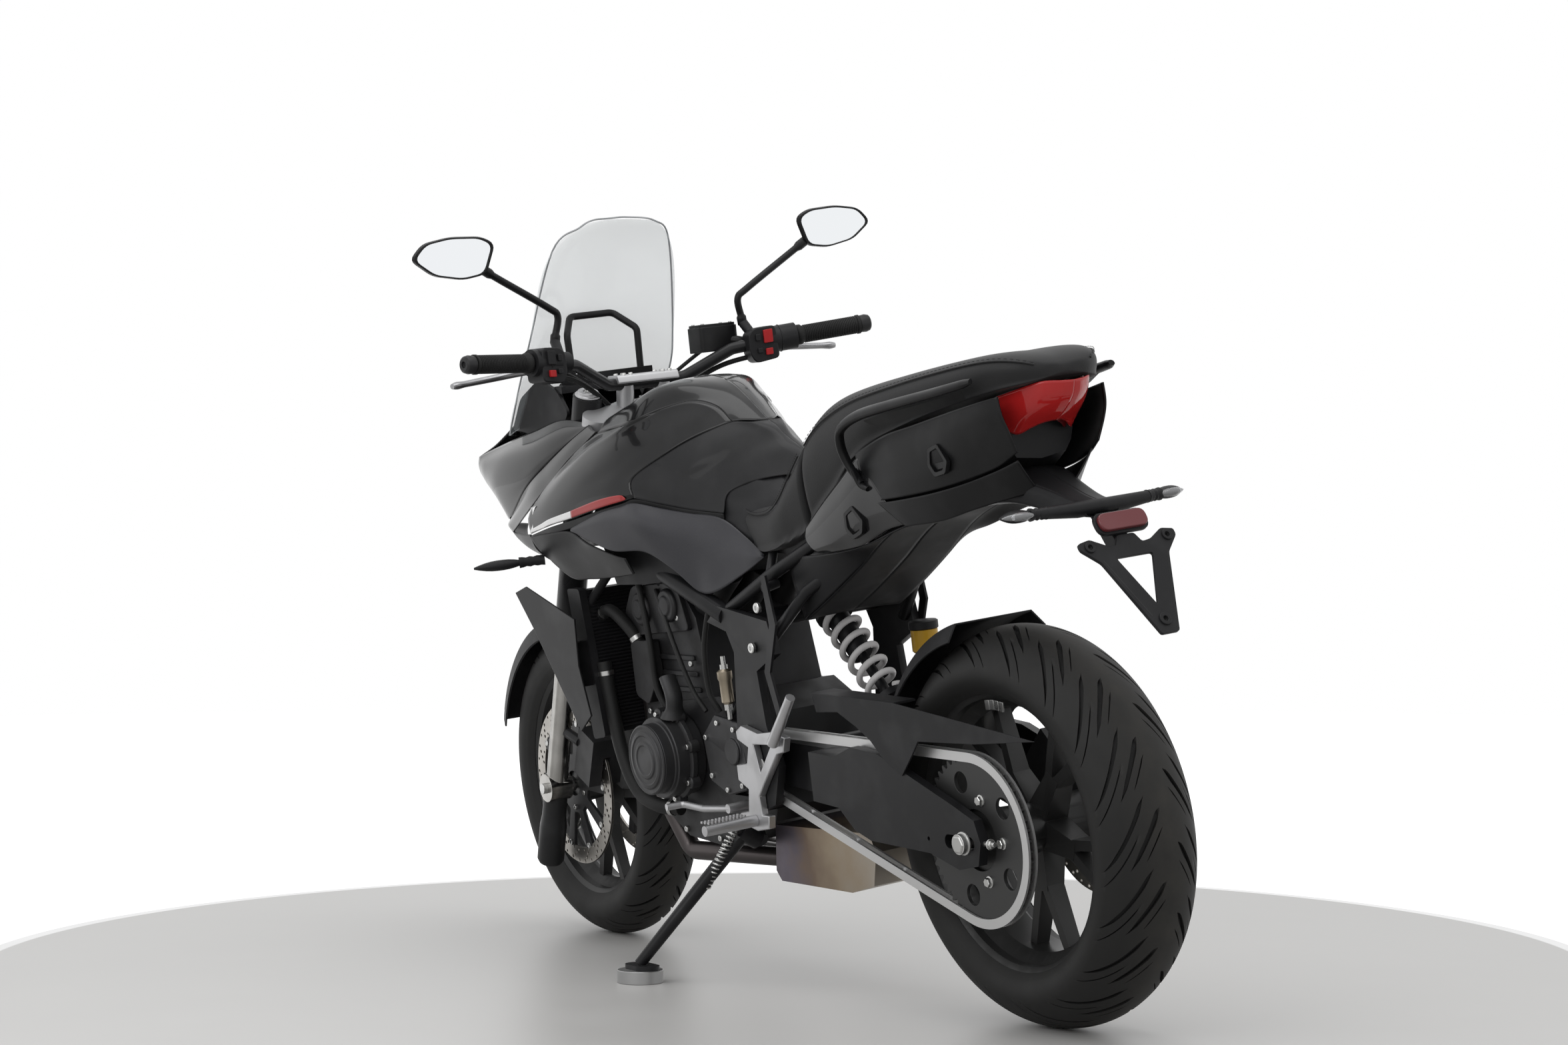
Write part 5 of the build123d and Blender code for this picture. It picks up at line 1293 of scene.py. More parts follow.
    def build(self, shop: Workshop) -> None:
        """Makes the pieces."""
        chassis = Body.CHASSIS
        shop.panel("tail_sides", self.upper() + self.belly(), Finish.PLASTIC_FINE, "tail_panels")
        shop.panel("tail_pocket_panels", self.pocket_panel(), Finish.BLACK_GLOSS)
        pockets = self.pocket((232, 131, 806), 27, -35) + self.pocket((-4, 121, 898), 26, -25)
        shop.piece("tail_catch_points", pockets.both(), Finish.PLASTIC_FINE, chassis, bevel=0.8)
        shop.piece("undertray", self.undertray().both(), Finish.PLASTIC, chassis, thick=2.5, angle=50)
        shop.piece("grab_rails_cast", self.rails().both(), Finish.PLASTIC_FINE, chassis, ["grab_rails"],
                   angle=50)
        lens, back = self.lamp()
        shop.piece("tail_lens", lens, Finish.RED_LENS, chassis, ["tail_light"], thick=2.0, angle=60)
        shop.piece("tail_lamp_bowls", back, Finish.REFLECT_RED, chassis, angle=30)
        shop.piece("plate_arm", self.arm().both(), Finish.PLASTIC, chassis, thick=2.0, angle=40)
        shop.piece("plate_holder", self.holder(), Finish.PLASTIC, chassis, ["plate_bracket"], bevel=0.7)
        bar = tube([(-226, -98, 812), (-228, -40, 809), (-228, 40, 809), (-226, 98, 812)], [9, 12, 12, 9], 18)
        stem = plate([(-250, 800), (-222, 800), (-262, 742), (-292, 742)], -14, 14)
        shop.piece("indicator_bar", bar + stem, Finish.PLASTIC, chassis, bevel=0.8)
        for name, (x, y), radius, low, high, finish, bevel, steps in (
                ("reflector", (43, 14), 14, 4, 12, Finish.REFLECTOR, 1.5, 3),
                ("reflector_tray", (47, 18), 17, -2, 5, Finish.PLASTIC, 1.0, 2)):
            outline = rounded([(-x, -y), (x, -y), (x, y), (-x, y)], radius, 8)
            form = plate(outline, low, high, (-276, 0, 785), (0, 1, 0), tuple(unit((80, 0, 138))))
            shop.piece(name, form, finish, chassis, bevel=bevel, steps=steps)
        housings, lenses, dots = [], [], []
        for side in (1, -1):
            for root, tip in (((-226, side * 94, 812), (-214, side * 168, 813)),
                              ((1168, side * 200, 753), (1220, side * 318, 752))):
                a, b, c = self.indicator(root, tip)
                housings.append(a)
                if root[0] < 0:
                    lenses.append(b)
                    dots.append(c)
        shop.piece("indicator_housings", gather(housings), Finish.PLASTIC, chassis, ["indicators"])
        shop.piece("indicator_lenses", gather(lenses), Finish.LENS, chassis)
        shop.piece("indicator_diodes", gather(dots), Finish.REFLECT, chassis)


# ---------------------------------------------------------------- wheels
Cut = tuple[float, float, float, float]


@dataclass(frozen=True)
class Tyre:
    """A tyre with slanted grooves cut into its tread."""

    node: str
    body: Body
    axle: Point
    radius: float
    width: float
    crown: float
    flange: float
    pitches: int
    cuts: tuple[Cut, ...]
    seat: float = 216.0
    depth: float = 5.0
    slant: float = -1.3
    rows: int = 64

    def profile(self) -> list[tuple[float, float, float]]:
        """Points from one bead over the crown to the other, as distance across, radius and share of tread."""
        edge = 0.955 * self.width / 2
        base = self.radius - self.crown
        edge_r = base + math.sqrt(self.crown**2 - edge**2)
        made = []
        for t in np.linspace(0, 1, 14, endpoint=False):
            bulge = self.width / 2 + 3.0
            y = (1 - t)**2 * (self.flange - 5) + 2 * t * (1 - t) * bulge + t**2 * edge
            ridge = 0.9 if 0.28 < t < 0.33 or 0.66 < t < 0.7 else 0.0
            made.append((min(y, self.width / 2 + 0.4) + ridge * 0.5, self.seat + (edge_r - self.seat) * t,
                         0.0))
        wall = [(-y, r, share) for y, r, share in made]
        reach = math.asin(edge / self.crown)
        arc = [(self.crown * math.sin(a), base + self.crown * math.cos(a), 1.0)
               for a in np.linspace(-reach, reach, self.rows)]
        return wall + arc + made[::-1]

    def lines(self, y: float, tread: float) -> list[tuple[float, float]]:
        """Distances round the tyre within one pitch, each with its depth, at a distance across."""
        pitch = 2 * math.pi * self.radius / self.pitches
        made = []
        cuts = self.cuts if y > 0 else self.cuts[len(self.cuts) // 2:] + self.cuts[:len(self.cuts) // 2]
        for k, (start, end, half, deep) in enumerate(cuts):
            share = (abs(y) - start) / (end - start)
            inside = tread * max(0.0, min(1.0, 6 * share)) * max(0.0, min(1.0, 5 * (1 - share)))
            middle = (k + 0.5) * pitch / len(cuts)
            w = 0.25 + half * (inside * (1.1 - 0.5 * min(max(share, 0), 1)))
            low = self.depth * deep * inside**0.5
            made += [(middle - w - 0.6, 0.0), (middle - w + 0.1, low), (middle + w - 0.1, low),
                     (middle + w + 0.6, 0.0),
                     (middle + pitch * 0.3 / len(cuts), 0.0), (middle + pitch * 0.5 / len(cuts), 0.0)]
        return made

    def form(self) -> Form:
        """The tyre's mesh."""
        grid, groove, crown = [], [], []
        for y, r, tread in self.profile():
            one = np.array(self.lines(y, tread))
            lean = self.slant * min(abs(y), self.width / 2) * (1 + abs(y) / self.width)
            around = np.concatenate([one[:, 0] + k * 2 * math.pi * self.radius / self.pitches
                                     for k in range(self.pitches)])
            angle = (around + lean) / self.radius
            low = np.tile(one[:, 1], self.pitches)
            tilt = math.asin(max(-1, min(1, y / self.crown))) if tread else 0.0
            rr, yy = r - low * math.cos(tilt), y - low * math.sin(tilt)
            grid.append(np.stack([rr * np.sin(angle), yy + 0 * rr, rr * np.cos(angle)], 1)
                        + np.array(self.axle))
            # the groove depth is kept as the mask for painted shade in the grooves
            groove.append(np.clip(low / 2.0, 0, 1))
            crown.append(np.full(len(low), tread * max(0.0, 1 - abs(y) / (self.width * 0.36))))
        made = sheet(np.array(grid), wrap_columns=True)
        made.paint = {"groove": np.concatenate(groove), "crown": np.concatenate(crown)}
        return made

    def build(self, shop: "Workshop") -> None:
        """Makes the tyre."""
        shop.piece(f"{self.node}_tread", self.form(), Finish.TYRE, self.body, [self.node], angle=50)


@dataclass(frozen=True)
class Disc:
    """A drilled brake ring on a carrier."""

    name: str
    body: Body
    centre: Point
    outer: float
    inner: float
    hub: float
    bore: float
    replaces: tuple[str, ...]
    half: float = 2.4

    def ring(self) -> Form:
        """The ring with its curved rows of holes."""
        holes = [circle(0, 0, self.inner, 80)[::-1]]
        for i in range(18):
            for k, share in enumerate((0.18, 0.4, 0.62, 0.84)):
                r, a = self.inner + (self.outer - self.inner) * share, math.radians(i * 20 + (k - 1.5) * 3.6)
                holes.append(circle(r * math.cos(a), r * math.sin(a), 3.1, 10)[::-1])
                if k in (0, 3):
                    a += math.radians(9.4)
                    holes.append(circle(r * math.cos(a), r * math.sin(a), 2.6, 10)[::-1])
        return plate(circle(0, 0, self.outer, 120), -self.half, self.half, self.centre, holes=holes)

    def carrier(self) -> Form:
        """The carrier's arms from the hub to the ring."""
        outline = []
        for i in range(10):
            a = 2 * math.pi * i / 10
            for off, r in ((-0.10, self.inner + 3), (0.10, self.inner + 3), (0.16, self.hub + 7),
                           (0.47, self.hub + 7)):
                outline.append((r * math.cos(a + off), r * math.sin(a + off)))
        return plate(rounded(outline, 3, 3), -self.half - 0.8, self.half + 0.8, self.centre,
                     holes=[circle(0, 0, self.bore, 40)[::-1]])

    def buttons(self, side: float) -> Form:
        """The floating rivets between carrier and ring, and the bolts round the hub."""
        x, y, z = self.centre
        rivet = lathe([(0, 6.0), (2.0, 6.0), (2.4, 4.8), (1.6, 3.0), (1.6, 0)],
                      (x + self.inner - 1, y + side * self.half, z), (0, side, 0), 18)
        screw = bolt((x + self.hub - 4, y + side * (self.half + 0.8), z), (0, side, 0), 5.0, 3.6)
        return rivet.round_axis(self.centre, (0, 1, 0), 10) + screw.round_axis(self.centre, (0, 1, 0), 5, 0.3)


@dataclass(frozen=True)
class Wheels:
    """Both wheels' looks: tyres, discs, sprocket nuts and valves."""

    rear: Point = (0.0, 0.0, LAYOUT.rear_axle)
    front: Point = (LAYOUT.wheelbase, 0.0, LAYOUT.front_axle)

    def build(self, shop: "Workshop") -> None:
        """Makes every piece."""
        rear_cuts = ((12.0, 60.0, 7.5, 1.0), (50.0, 86.0, 1.4, 0.7), (34.0, 86.0, 6.0, 1.0),
                     (14.0, 40.0, 1.4, 0.7))
        front_cuts = ((8.0, 40.0, 6.0, 1.0), (34.0, 57.0, 1.2, 0.7), (20.0, 57.0, 5.0, 1.0),
                      (9.0, 26.0, 1.2, 0.7))
        Tyre("rear_tyre", Body.REAR_WHEEL, self.rear, 315.0, 180.0, 95.0, 75.0, 18, rear_cuts).build(shop)
        Tyre("front_tyre", Body.FRONT_WHEEL, self.front, 300.0, 120.0, 62.0, 49.0, 18, front_cuts).build(shop)
        x, _, z = self.front
        discs = [Disc(f"front_disc_{s}", Body.FRONT_WHEEL, (x, y, z), 155.0, 124.0, 50.0, 24.0,
                      ("front_discs",)) for s, y in (("left", 65.0), ("right", -65.0))]
        discs.append(Disc("rear_disc", Body.REAR_WHEEL, (0.0, -100.25, 315.0), 127.5, 90.0, 56.0, 24.0,
                          ("rear_disc",)))
        for disc in discs:
            side = 1 if disc.centre[1] > 0 else -1
            shop.piece(f"{disc.name}_ring", disc.ring(), Finish.DISC, disc.body, disc.replaces, bevel=0.4)
            shop.piece(f"{disc.name}_carrier", disc.carrier(), Finish.CALIPER, disc.body, bevel=0.6)
            shop.piece(f"{disc.name}_rivets", disc.buttons(side), Finish.ZINC, disc.body)
        nut = bolt((66, 124.2, 315), (0, 1, 0), 7.5, 8, False).round_axis(self.rear, (0, 1, 0), 5,
                                                                          math.radians(36))
        shop.piece("sprocket_nuts", nut, Finish.ZINC, Body.REAR_WHEEL)
        for name, body, (ax, _, az), well in (("rear", Body.REAR_WHEEL, self.rear, 66.0),
                                              ("front", Body.FRONT_WHEEL, self.front, 40.0)):
            stem = lathe([(0, 6), (3, 6), (4, 4), (22, 4), (23, 4.6), (34, 4.6), (35, 3.6), (35, 0)],
                         (ax, 0, az + 186), (0, 0, -1), 18)
            stem = stem.turned((ax, 0, az), 126)
            weights = gather([block((ax, well + 3.4, az + 200 - 0.4 * abs(k)),
                                    (11, 2.6, 15)).turned((ax, 0, az), 3.4 * k)
                              for k in range(-2, 2)])
            shop.piece(f"{name}_valve", stem + weights, Finish.ZINC, body, bevel=0.4)


# ---------------------------------------------------------------- cockpit
@dataclass(frozen=True)
class Cockpit:
    """Everything that the hands and eyes meet: grips, levers, switches, clamps, cables and the display."""

    tip: Point = (956.0, 388.0, 1114.0)
    root: Point = (988.0, 253.0, 1105.0)
    grip_radius: float = 16.0
    ribs: int = 30

    def on(self, side: int, share: float) -> np.ndarray:
        """A point along a grip's axis, from its outer end inwards."""
        tip, root = (np.array(p) * (1, side, 1) for p in (self.tip, self.root))
        return tip + (root - tip) * share

    def fork(self, height: float, side: int) -> Point:
        """A point on a fork leg's own axis."""
        return LAYOUT.along(height, LAYOUT.fork_ahead, side * LAYOUT.fork_side)

    def grip(self, side: int) -> tuple[Form, Form]:
        """A ribbed grip, and the weight at the bar's end."""
        start, axis = self.on(side, -0.02), self.on(side, 1) - self.on(side, 0)
        length = float(np.linalg.norm(axis)) * 0.88
        ribs = [(0.0, 17.5), (5.0, 17.5), (6.0, 15.4)]
        for i in range(self.ribs):
            a = 8 + (length - 22) * i / self.ribs
            ribs += [(a, 15.4), (a + 0.6, self.grip_radius + 0.5), (a + 2.2, self.grip_radius + 0.5),
                     (a + 2.8, 15.4)]
        ribs += [(length - 12, 15.6), (length - 8, 18.6), (length - 3, 18.6), (length, 17.0)]
        weight = [(0.5, 12), (-1, 15.5), (-12, 16.5), (-19, 14.5), (-21.5, 11), (-21.5, 6), (-17, 5),
                  (-17, 0)]
        return lathe(ribs, start, axis, 40), lathe(weight, start, axis, 36)

    def lever(self, side: int) -> Form:
        """A flat blade that ends in a ball."""
        line = curve([(1044, side * 222, 1095), (1060, side * 262, 1091), (1066, side * 300, 1087),
                      (1060, side * 350, 1083), (1051, side * 392, 1080)], 8)
        wide = np.interp(np.linspace(0, 1, len(line)), [0, 0.12, 0.4, 0.85, 0.95, 1],
                         [10, 9, 8.2, 7.2, 9.0, 6.0])
        pivot = lathe([(-9, 8), (9, 8)], (1046, side * 222, 1095), (0, 0, 1), 24)
        return tube(line, wide, 18, squash=0.8) + pivot

    def clamps(self) -> tuple[Form, Form]:
        """The bar's clamp caps and the fork and stem tops, with their screws."""
        caps, screws = [], []
        for side in (1, -1):
            for dx in (-16, 16):
                screws += [bolt((1083 + dx, side * 40 + dy, 1066), (0, 0, 1), 4.0, 5) for dy in (-7, 7)]
            top, up = self.fork(1115, side), LAYOUT.fork_up()
            caps.append(lathe([(0, 24), (3, 24), (5, 20), (9, 19), (9, 9), (6, 8), (6, 0)], top, up, 32))
            screws.append(bolt(np.array(top) + np.array(up) * 6, up, 7, 6, False))
        caps.append(plate(rounded([(-26, 2), (26, 2), (20, 18), (-20, 18)], 5), -62, 62, (1083, 0, 1050),
                          (1, 0, 0)))
        screws.append(bolt(LAYOUT.along(1103, 0, 0), up, 15, 9, False))
        return gather(caps), gather(screws)

    def cables(self) -> Form:
        """Brake and clutch lines, switch looms and the caliper hoses."""
        lines = [
            ([(1048, 205, 1086), (1080, 150, 1078), (1120, 70, 1030), (1130, 30, 960), (1130, 20, 890)], 3.6),
            ([(1010, 215, 1080), (1060, 140, 1062), (1105, 60, 1010), (1122, 10, 930), (1126, 0, 890)], 4.6),
            ([(1072, -180, 1122), (1110, -130, 1090), (1150, -60, 1030), (1160, -20, 960), (1162, 0, 900)],
             3.6),
            ([(1010, -215, 1080), (1060, -140, 1062), (1105, -60, 1010), (1124, -14, 930), (1128, -6, 890)],
             4.6),
        ]
        for side in (1, -1):
            lines.append(([(1180, side * 60, 850), (1240, side * 74, 760), (1300, side * 82, 600),
                           (1318, side * 88, 470), (1302, side * 84, 392)], 3.4))
        return gather([tube(curve(points, 8), radius, 12) for points, radius in lines])

    def switches(self) -> tuple[Form, Form, Form]:
        """Switch pods: their cases, black buttons, and red ones."""
        cases, black, red = [], [], []
        for side in (1, -1):
            a, axis = self.on(side, 1.08 if side > 0 else 1.3), unit(self.on(side, 1) - self.on(side, 0))
            case = [(-26, -34), (20, -38), (30, -20), (30, 16), (18, 26), (-22, 26)]
            cases.append(plate(rounded(case, 9), -23, 23, tuple(a + axis * 6), tuple(axis)))
            back = unit(np.cross(axis, (0, 0, side)))
            for share, high, size in ((0.0, 8, (17, 24)), (19, 8, (9, 12)), (0.0, -20, (13, 12)),
                                      (17, -16, (9, 9))):
                spot = a + axis * share + np.array((0, 0, high)) + back * 22
                target = red if share == 0.0 and (side < 0 or high < 0) else black
                target.append(plate(rounded([(-size[0] / 2, -size[1] / 2), (size[0] / 2, -size[1] / 2),
                                             (size[0] / 2, size[1] / 2), (-size[0] / 2, size[1] / 2)], 2),
                                    -6, 6, tuple(spot), tuple(axis)))
            black.append(lathe([(-1, 25.2), (1, 25.2)], self.on(side, 1.1), axis, 40))
        return gather(cases), gather(black), gather(red)

    def reservoir(self) -> tuple[Form, Form]:
        """The front brake's fluid box with its lid and screws."""
        corners = [(-26, -37), (26, -37), (26, 37), (-26, 37)]
        def shape(grow: float) -> list[Flat]:
            """The box's plan, grown."""
            return rounded([(x + math.copysign(grow, x), y + math.copysign(grow, y)) for x, y in corners], 9)
        box = plate(shape(-2), -12, 34, (1078, -150, 1126), (1, 0, 0), (0, 1, 0))
        lid = plate(shape(0), -17, -11, (1078, -150, 1126), (1, 0, 0), (0, 1, 0))
        neck = tube(curve([(1062, -172, 1112), (1046, -190, 1106), (1038, -214, 1098)], 6), 9, 16)
        screws = [bolt((1078 + x * 18, -150 + y * 29, 1143), (0, 0, 1), 3.4, 1.6) for x in (-1, 1)
                  for y in (-1, 1)]
        return gather([box, lid, neck]), gather(screws)

    def mirror(self, side: int) -> tuple[Form, Form, Form]:
        """A mirror: its stem, its rounded housing and its glass."""
        corners = [(-78, -30), (-64, 25), (-20, 37), (38, 33), (82, 7), (60, -23), (10, -37), (-50, -41)]
        centre, face = np.array((1000, side * 385, 1300)), unit((-1, 0, -0.1))
        across = unit((0, 1, 0.12 * side))
        up = np.cross(face, across)
        flat = np.array(rounded([(side * u, v) for u, v in corners], 14, 5))
        rings = [centre + face * d + (flat * k) @ np.array([across, up]) for d,
                 k in ((1.5, 0.89), (3.5, 0.92), (3.0, 0.97), (-3, 1.0), (-16, 0.88), (-28, 0.55),
                       (-32, 0.2))]
        glass = loft([centre + face * d + (flat * 0.905) @ np.array([across, up]) for d in (-0.5, 1.8)])
        stem = tube(curve([(1036, side * 192, 1136), (1035, side * 190, 1150), (1030, side * 184, 1184),
                           (1026, side * 205, 1202), (1016, side * 300, 1260),
                           (1010, side * 335, 1282)], 7), [9] * 8 + [6.5] * 22 + [9] * 6, 16)
        return stem, loft(rings), glass

    def screen_edge(self) -> Form:
        """The bright edge round the clear screen."""
        rows = ((1405, 1000, 150), (1330, 1085, 160), (1278, 1165, 152), (1190, 1322, 122), (1140, 1352, 78))
        left = [(x - 0.40 * w, w, z - 0.14 * w) for x, z, w in rows]
        line = curve([*left, (1134, 36, 1353), (1138, 0, 1354)], 8)
        return tube(np.vstack([line, line[-2::-1] * (1, -1, 1)]), 1.7, 8)

    def feet(self) -> Form:
        """The black sleeves and clamps at the fork's lower ends."""
        made = []
        for side in (1, -1):
            foot, top = self.fork(150, side), self.fork(300, side)
            made.append(lathe([(0, 22), (8, 26), (80, 26), (100, 23.5), (150, 22.5), (158, 21)], foot,
                              np.array(top) - np.array(foot), 32))
            made.append(lathe([(-17, 24), (17, 24)], (1418, side * 104, 299.7), (0, side, 0), 32))
        return gather(made)

    def display(self) -> tuple[Form, Form]:
        """The display's housing and its dark glass."""
        def face(w: float, h: float) -> list[Flat]:
            """A rounded face."""
            return rounded([(-w, -h), (w, -h), (w, h), (-w, h)], 12)
        spot, up = (1236, 0, 1030), (0.55, 0, 0.835)
        return plate(face(80, 44), -14, -1, spot, (0, 1, 0), up), plate(face(72, 37), -2, 1, spot, (0, 1, 0),
                                                                        up)

    def build(self, shop: Workshop) -> None:
        """Makes the pieces."""
        steering = Body.STEERING
        grips, weights = zip(*(self.grip(s) for s in (1, -1)))
        shop.piece("ribbed_grips", gather(grips), Finish.GRIP, steering, ["grips"], angle=60)
        shop.piece("bar_weights", gather(weights), Finish.CALIPER, steering, bevel=0.5)
        shop.piece("lever_blades", gather([self.lever(s) for s in (1, -1)]), Finish.LEVER, steering,
                   ["levers"], angle=50)
        caps, screws = self.clamps()
        shop.piece("bar_clamps", caps, Finish.YOKE, steering, bevel=1.2)
        shop.piece("clamp_screws", screws, Finish.ZINC, steering, bevel=0.3)
        shop.piece("control_lines", self.cables(), Finish.HOSE, steering)
        cases, black, red = self.switches()
        shop.piece("switch_cases", cases, Finish.PLASTIC, steering, bevel=2.0)
        shop.piece("switch_buttons", black, Finish.PLASTIC, steering, bevel=0.8)
        shop.piece("red_switches", red, Finish.SWITCH, steering, bevel=0.8)
        box, screws = self.reservoir()
        shop.piece("fluid_box", box, Finish.PLASTIC_FINE, steering, ["brake_reservoir"], bevel=1.2)
        shop.piece("fluid_box_screws", screws, Finish.ZINC, steering)
        stems, heads, glass = zip(*(self.mirror(s) for s in (1, -1)))
        shop.piece("mirror_housings", gather([*stems, *heads]), Finish.PLASTIC_FINE, steering, ["mirrors"],
                   angle=50)
        shop.piece("mirror_faces", gather(glass), Finish.MIRROR, steering, ["mirror_glass"])
        shop.piece("fork_feet", self.feet(), Finish.CALIPER, steering, bevel=0.8)
        shop.piece("screen_rim", self.screen_edge(), Finish.SCREEN_EDGE, Body.CHASSIS)
        housing, glass = self.display()
        shop.piece("display_housing", housing, Finish.PLASTIC_FINE, Body.CHASSIS, bevel=2.0)
        shop.piece("display_glass", glass, Finish.GLASS, Body.CHASSIS, bevel=0.5)


# ---------------------------------------------------------------- engine bay and running gear
@dataclass(frozen=True)
class EngineBay:
    """What shows round the engine: covers, hoses, bolts, fins and springs."""

    cover: Flat = (880.0, 400.0)
    cover_bolts: float = 76.0
    cover_angles: tuple[float, ...] = (20, 72, 118, 165, 215, 262, 318)
    clutch: Flat = (830.0, 395.0)
    clutch_bolts: float = 90.0
    clutch_angles: Iterable[float] = range(10, 370, 40)
    side: float = 118.0

    def spots(self, left: bool) -> list[Flat]:
        """Where the screws round the generator's cover, on the left, or the clutch's stand."""
        (x, z), radius, angles = ((self.cover, self.cover_bolts, self.cover_angles) if left else
                                  (self.clutch, self.clutch_bolts, self.clutch_angles))
        return [(x + radius * math.cos(a), z + radius * math.sin(a)) for a in np.radians(angles)]

    def covers(self) -> Form:
        """Rings on the generator's cover, its ears, and the clutch cover's dome."""
        x, z = self.cover
        rings = [(0, 62), (2.5, 62), (4, 59), (3, 56), (3, 52), (5.5, 50), (6.5, 44), (5, 42), (5, 34),
                 (7, 32), (7.5, 27), (6, 25), (6, 0)]
        left = lathe(rings, (x, 195.5, z), (0, 1, 0), 72)
        flange = lathe([(0, 78), (9, 78), (12, 73), (12, 0)], (x, 140, z), (0, 1, 0), 64)
        ears = gather([lathe([(0, 11), (16, 11), (18, 9), (18, 0)], (px, 136, pz), (0, 1, 0), 24)
                       for px, pz in self.spots(True)])
        sweep = tube(curve([(850, 150, 470), (842, 150, 505), (860, 148, 540)], 6), [26, 22, 18] + [16] * 10,
                     20, squash=0.7)
        right = lathe([(0, 70), (3, 70), (6, 64), (6, 50), (9, 46), (9, 0)], (830, -177.5, 395), (0, -1, 0),
                      64)
        rib = gather([lathe([(0, 10), (14, 10), (16, 8), (16, 0)], (px, -136, pz), (0, -1, 0), 20)
                      for px, pz in self.spots(False)])
        return gather([left, flange, ears, sweep, right, rib])

    def screws(self) -> Form:
        """Every bright screw head on the left and right."""
        groups = [(154, self.spots(True), 5.0, 4.5), (-152, self.spots(False), 5.0, 4.5),
                  (144, [(660, 456), (712, 465), (755, 438), (748, 372), (700, 350), (650, 360)], 5.0, 4.5),
                  (150, [(521, 668), (553, 600), (602, 452), (616, 384)], 9.0, 6.5),
                  (-150, [(521, 668), (602, 452), (616, 384)], 9.0, 6.5)]
        block_spots = [(985, 470), (1000, 395), (975, 310), (905, 262), (790, 254), (985, 560), (985, 640),
                       (850, 640),
                       (820, 560)]
        groups += [(side * self.side, block_spots, 5.5, 5) for side in (1, -1)]
        made = [bolt((px, y, pz), (0, math.copysign(1, y), 0), head, height)
                for y, spots, head, height in groups for px, pz in spots]
        return gather(made)

    def head(self) -> Form:
        """The cylinder head, its cam ends, spark leads, intake throats and casting ribs."""
        made = []
        for s in (1, -1):
            near, far = sorted((s * 111, s * 122))
            made.append(plate(rounded([(842, 704), (1000, 694), (1034, 646), (1022, 604), (812, 618)], 12),
                              near, far))
            near, far = sorted((s * 111, s * 117))
            for k in range(4):
                low = 480 + k * 28
                made.append(plate(rounded([(800 + k * 5, low), (1004 + k * 6, low), (1005 + k * 6, low + 9),
                                           (801 + k * 5, low + 9)], 4), near, far))
            for px, pz in ((872, 662), (968, 654)):
                made.append(lathe([(0, 30), (6, 30), (10, 26), (10, 18), (13, 16), (13, 0)],
                                  (px, s * 120, pz), (0, s, 0), 40))
            made.append(plate(rounded([(936, 600), (1002, 596), (1002, 500), (960, 484), (930, 520)], 10),
                              *sorted((s * 114, s * 136))))
        for y in (-76, 0, 76):
            made.append(tube([(815, y, 655), (770, y, 685), (735, y, 718)], [27, 24, 30], 24))
            made.append(tube(curve([(900, y, 694), (905, y, 720), (890, y, 738)], 4), 13, 16))
        return gather(made)

    def hoses(self) -> tuple[Form, Form]:
        """Coolant hoses, breather and loom, with their clips."""
        lines = [([(1082, 150, 560), (1076, 150, 500), (1052, 152, 400), (1012, 150, 330), (950, 146, 306),
                   (895, 132, 302)], 13.0),
                 ([(1110, 130, 640), (1060, 136, 652), (1010, 130, 620), (990, 122, 590)], 11.0),
                 ([(960, 128, 700), (930, 136, 600), (925, 136, 520), (905, 130, 475)], 6.0),
                 ([(905, 126, 690), (850, 134, 600), (800, 136, 520), (770, 130, 480)], 4.2),
                 ([(700, 132, 690), (735, 138, 600), (742, 136, 520), (730, 126, 480)], 5.0),
                 ([(680, 120, 620), (640, 126, 560), (655, 132, 500), (700, 130, 470)], 4.0),
                 ([(1090, -140, 560), (1060, -150, 450), (1010, -146, 350), (930, -130, 310)], 13.0)]
        hoses = gather([tube(curve(points, 8), radius, 16) for points, radius in lines])
        clips = []
        for points, radius in (lines[0], lines[1], lines[6]):
            line = curve(points, 8)
            for k in (3, len(line) - 4):
                clips.append(lathe([(-4, radius + 0.4), (-4, radius + 1.6), (4, radius + 1.6),
                                    (4, radius + 0.4)], line[k], unit(line[k + 1] - line[k]), 24, True))
        return hoses, gather(clips)

    def valve(self) -> tuple[Form, Form]:
        """The upright valve behind the cylinders: an oxidised body between bright fittings."""
        body = lathe([(0, 8), (4, 11), (40, 11), (44, 13), (56, 13), (60, 8)], (664, 146, 500), (0.02, 0, 1),
                     24)
        ends = lathe([(0, 4.5), (16, 4.5), (16, 8), (26, 8), (28, 5), (36, 5)], (664, 146, 474), (0.02, 0, 1),
                     6)
        return body, ends + lathe([(0, 7), (8, 7), (8, 4), (22, 4), (24, 0)], (665, 146, 560), (0.02, 0, 1),
                                  12)

    def fins(self) -> Form:
        """The radiator's tubes on both faces, and its end tanks."""
        made = []
        for top, low in (((1147.5, 688), (1111.5, 427)), ((1109.5, 688), (1076.5, 432))):
            for t in np.linspace(0.03, 0.97, 40):
                x, z = np.array(top) * (1 - t) + np.array(low) * t
                made.append(tube([(x, -156, z), (x, 156, z)], 1.9, 6))
        for s in (1, -1):
            made.append(plate(rounded([(1152, 695), (1107, 695), (1072, 426), (1116, 420)], 8),
                              *sorted((s * 156, s * 171))))
        return gather(made)

    def spring(self, start: Point, end: Point, radius: float, wire: float, turns: int) -> Form:
        """A close coil with a hook at each end."""
        a, b = np.array(start), np.array(end)
        axis = unit(b - a)
        u = unit(np.cross(axis, (0, 1, 0)))
        v = np.cross(axis, u)
        line = [a - axis * 10]
        for t in np.linspace(0, 1, turns * 12):
            angle = 2 * math.pi * turns * t
            line.append(a + (b - a) * t + radius * (math.cos(angle) * u + math.sin(angle) * v))
        return tube([*line, b + axis * 10], wire, 8)

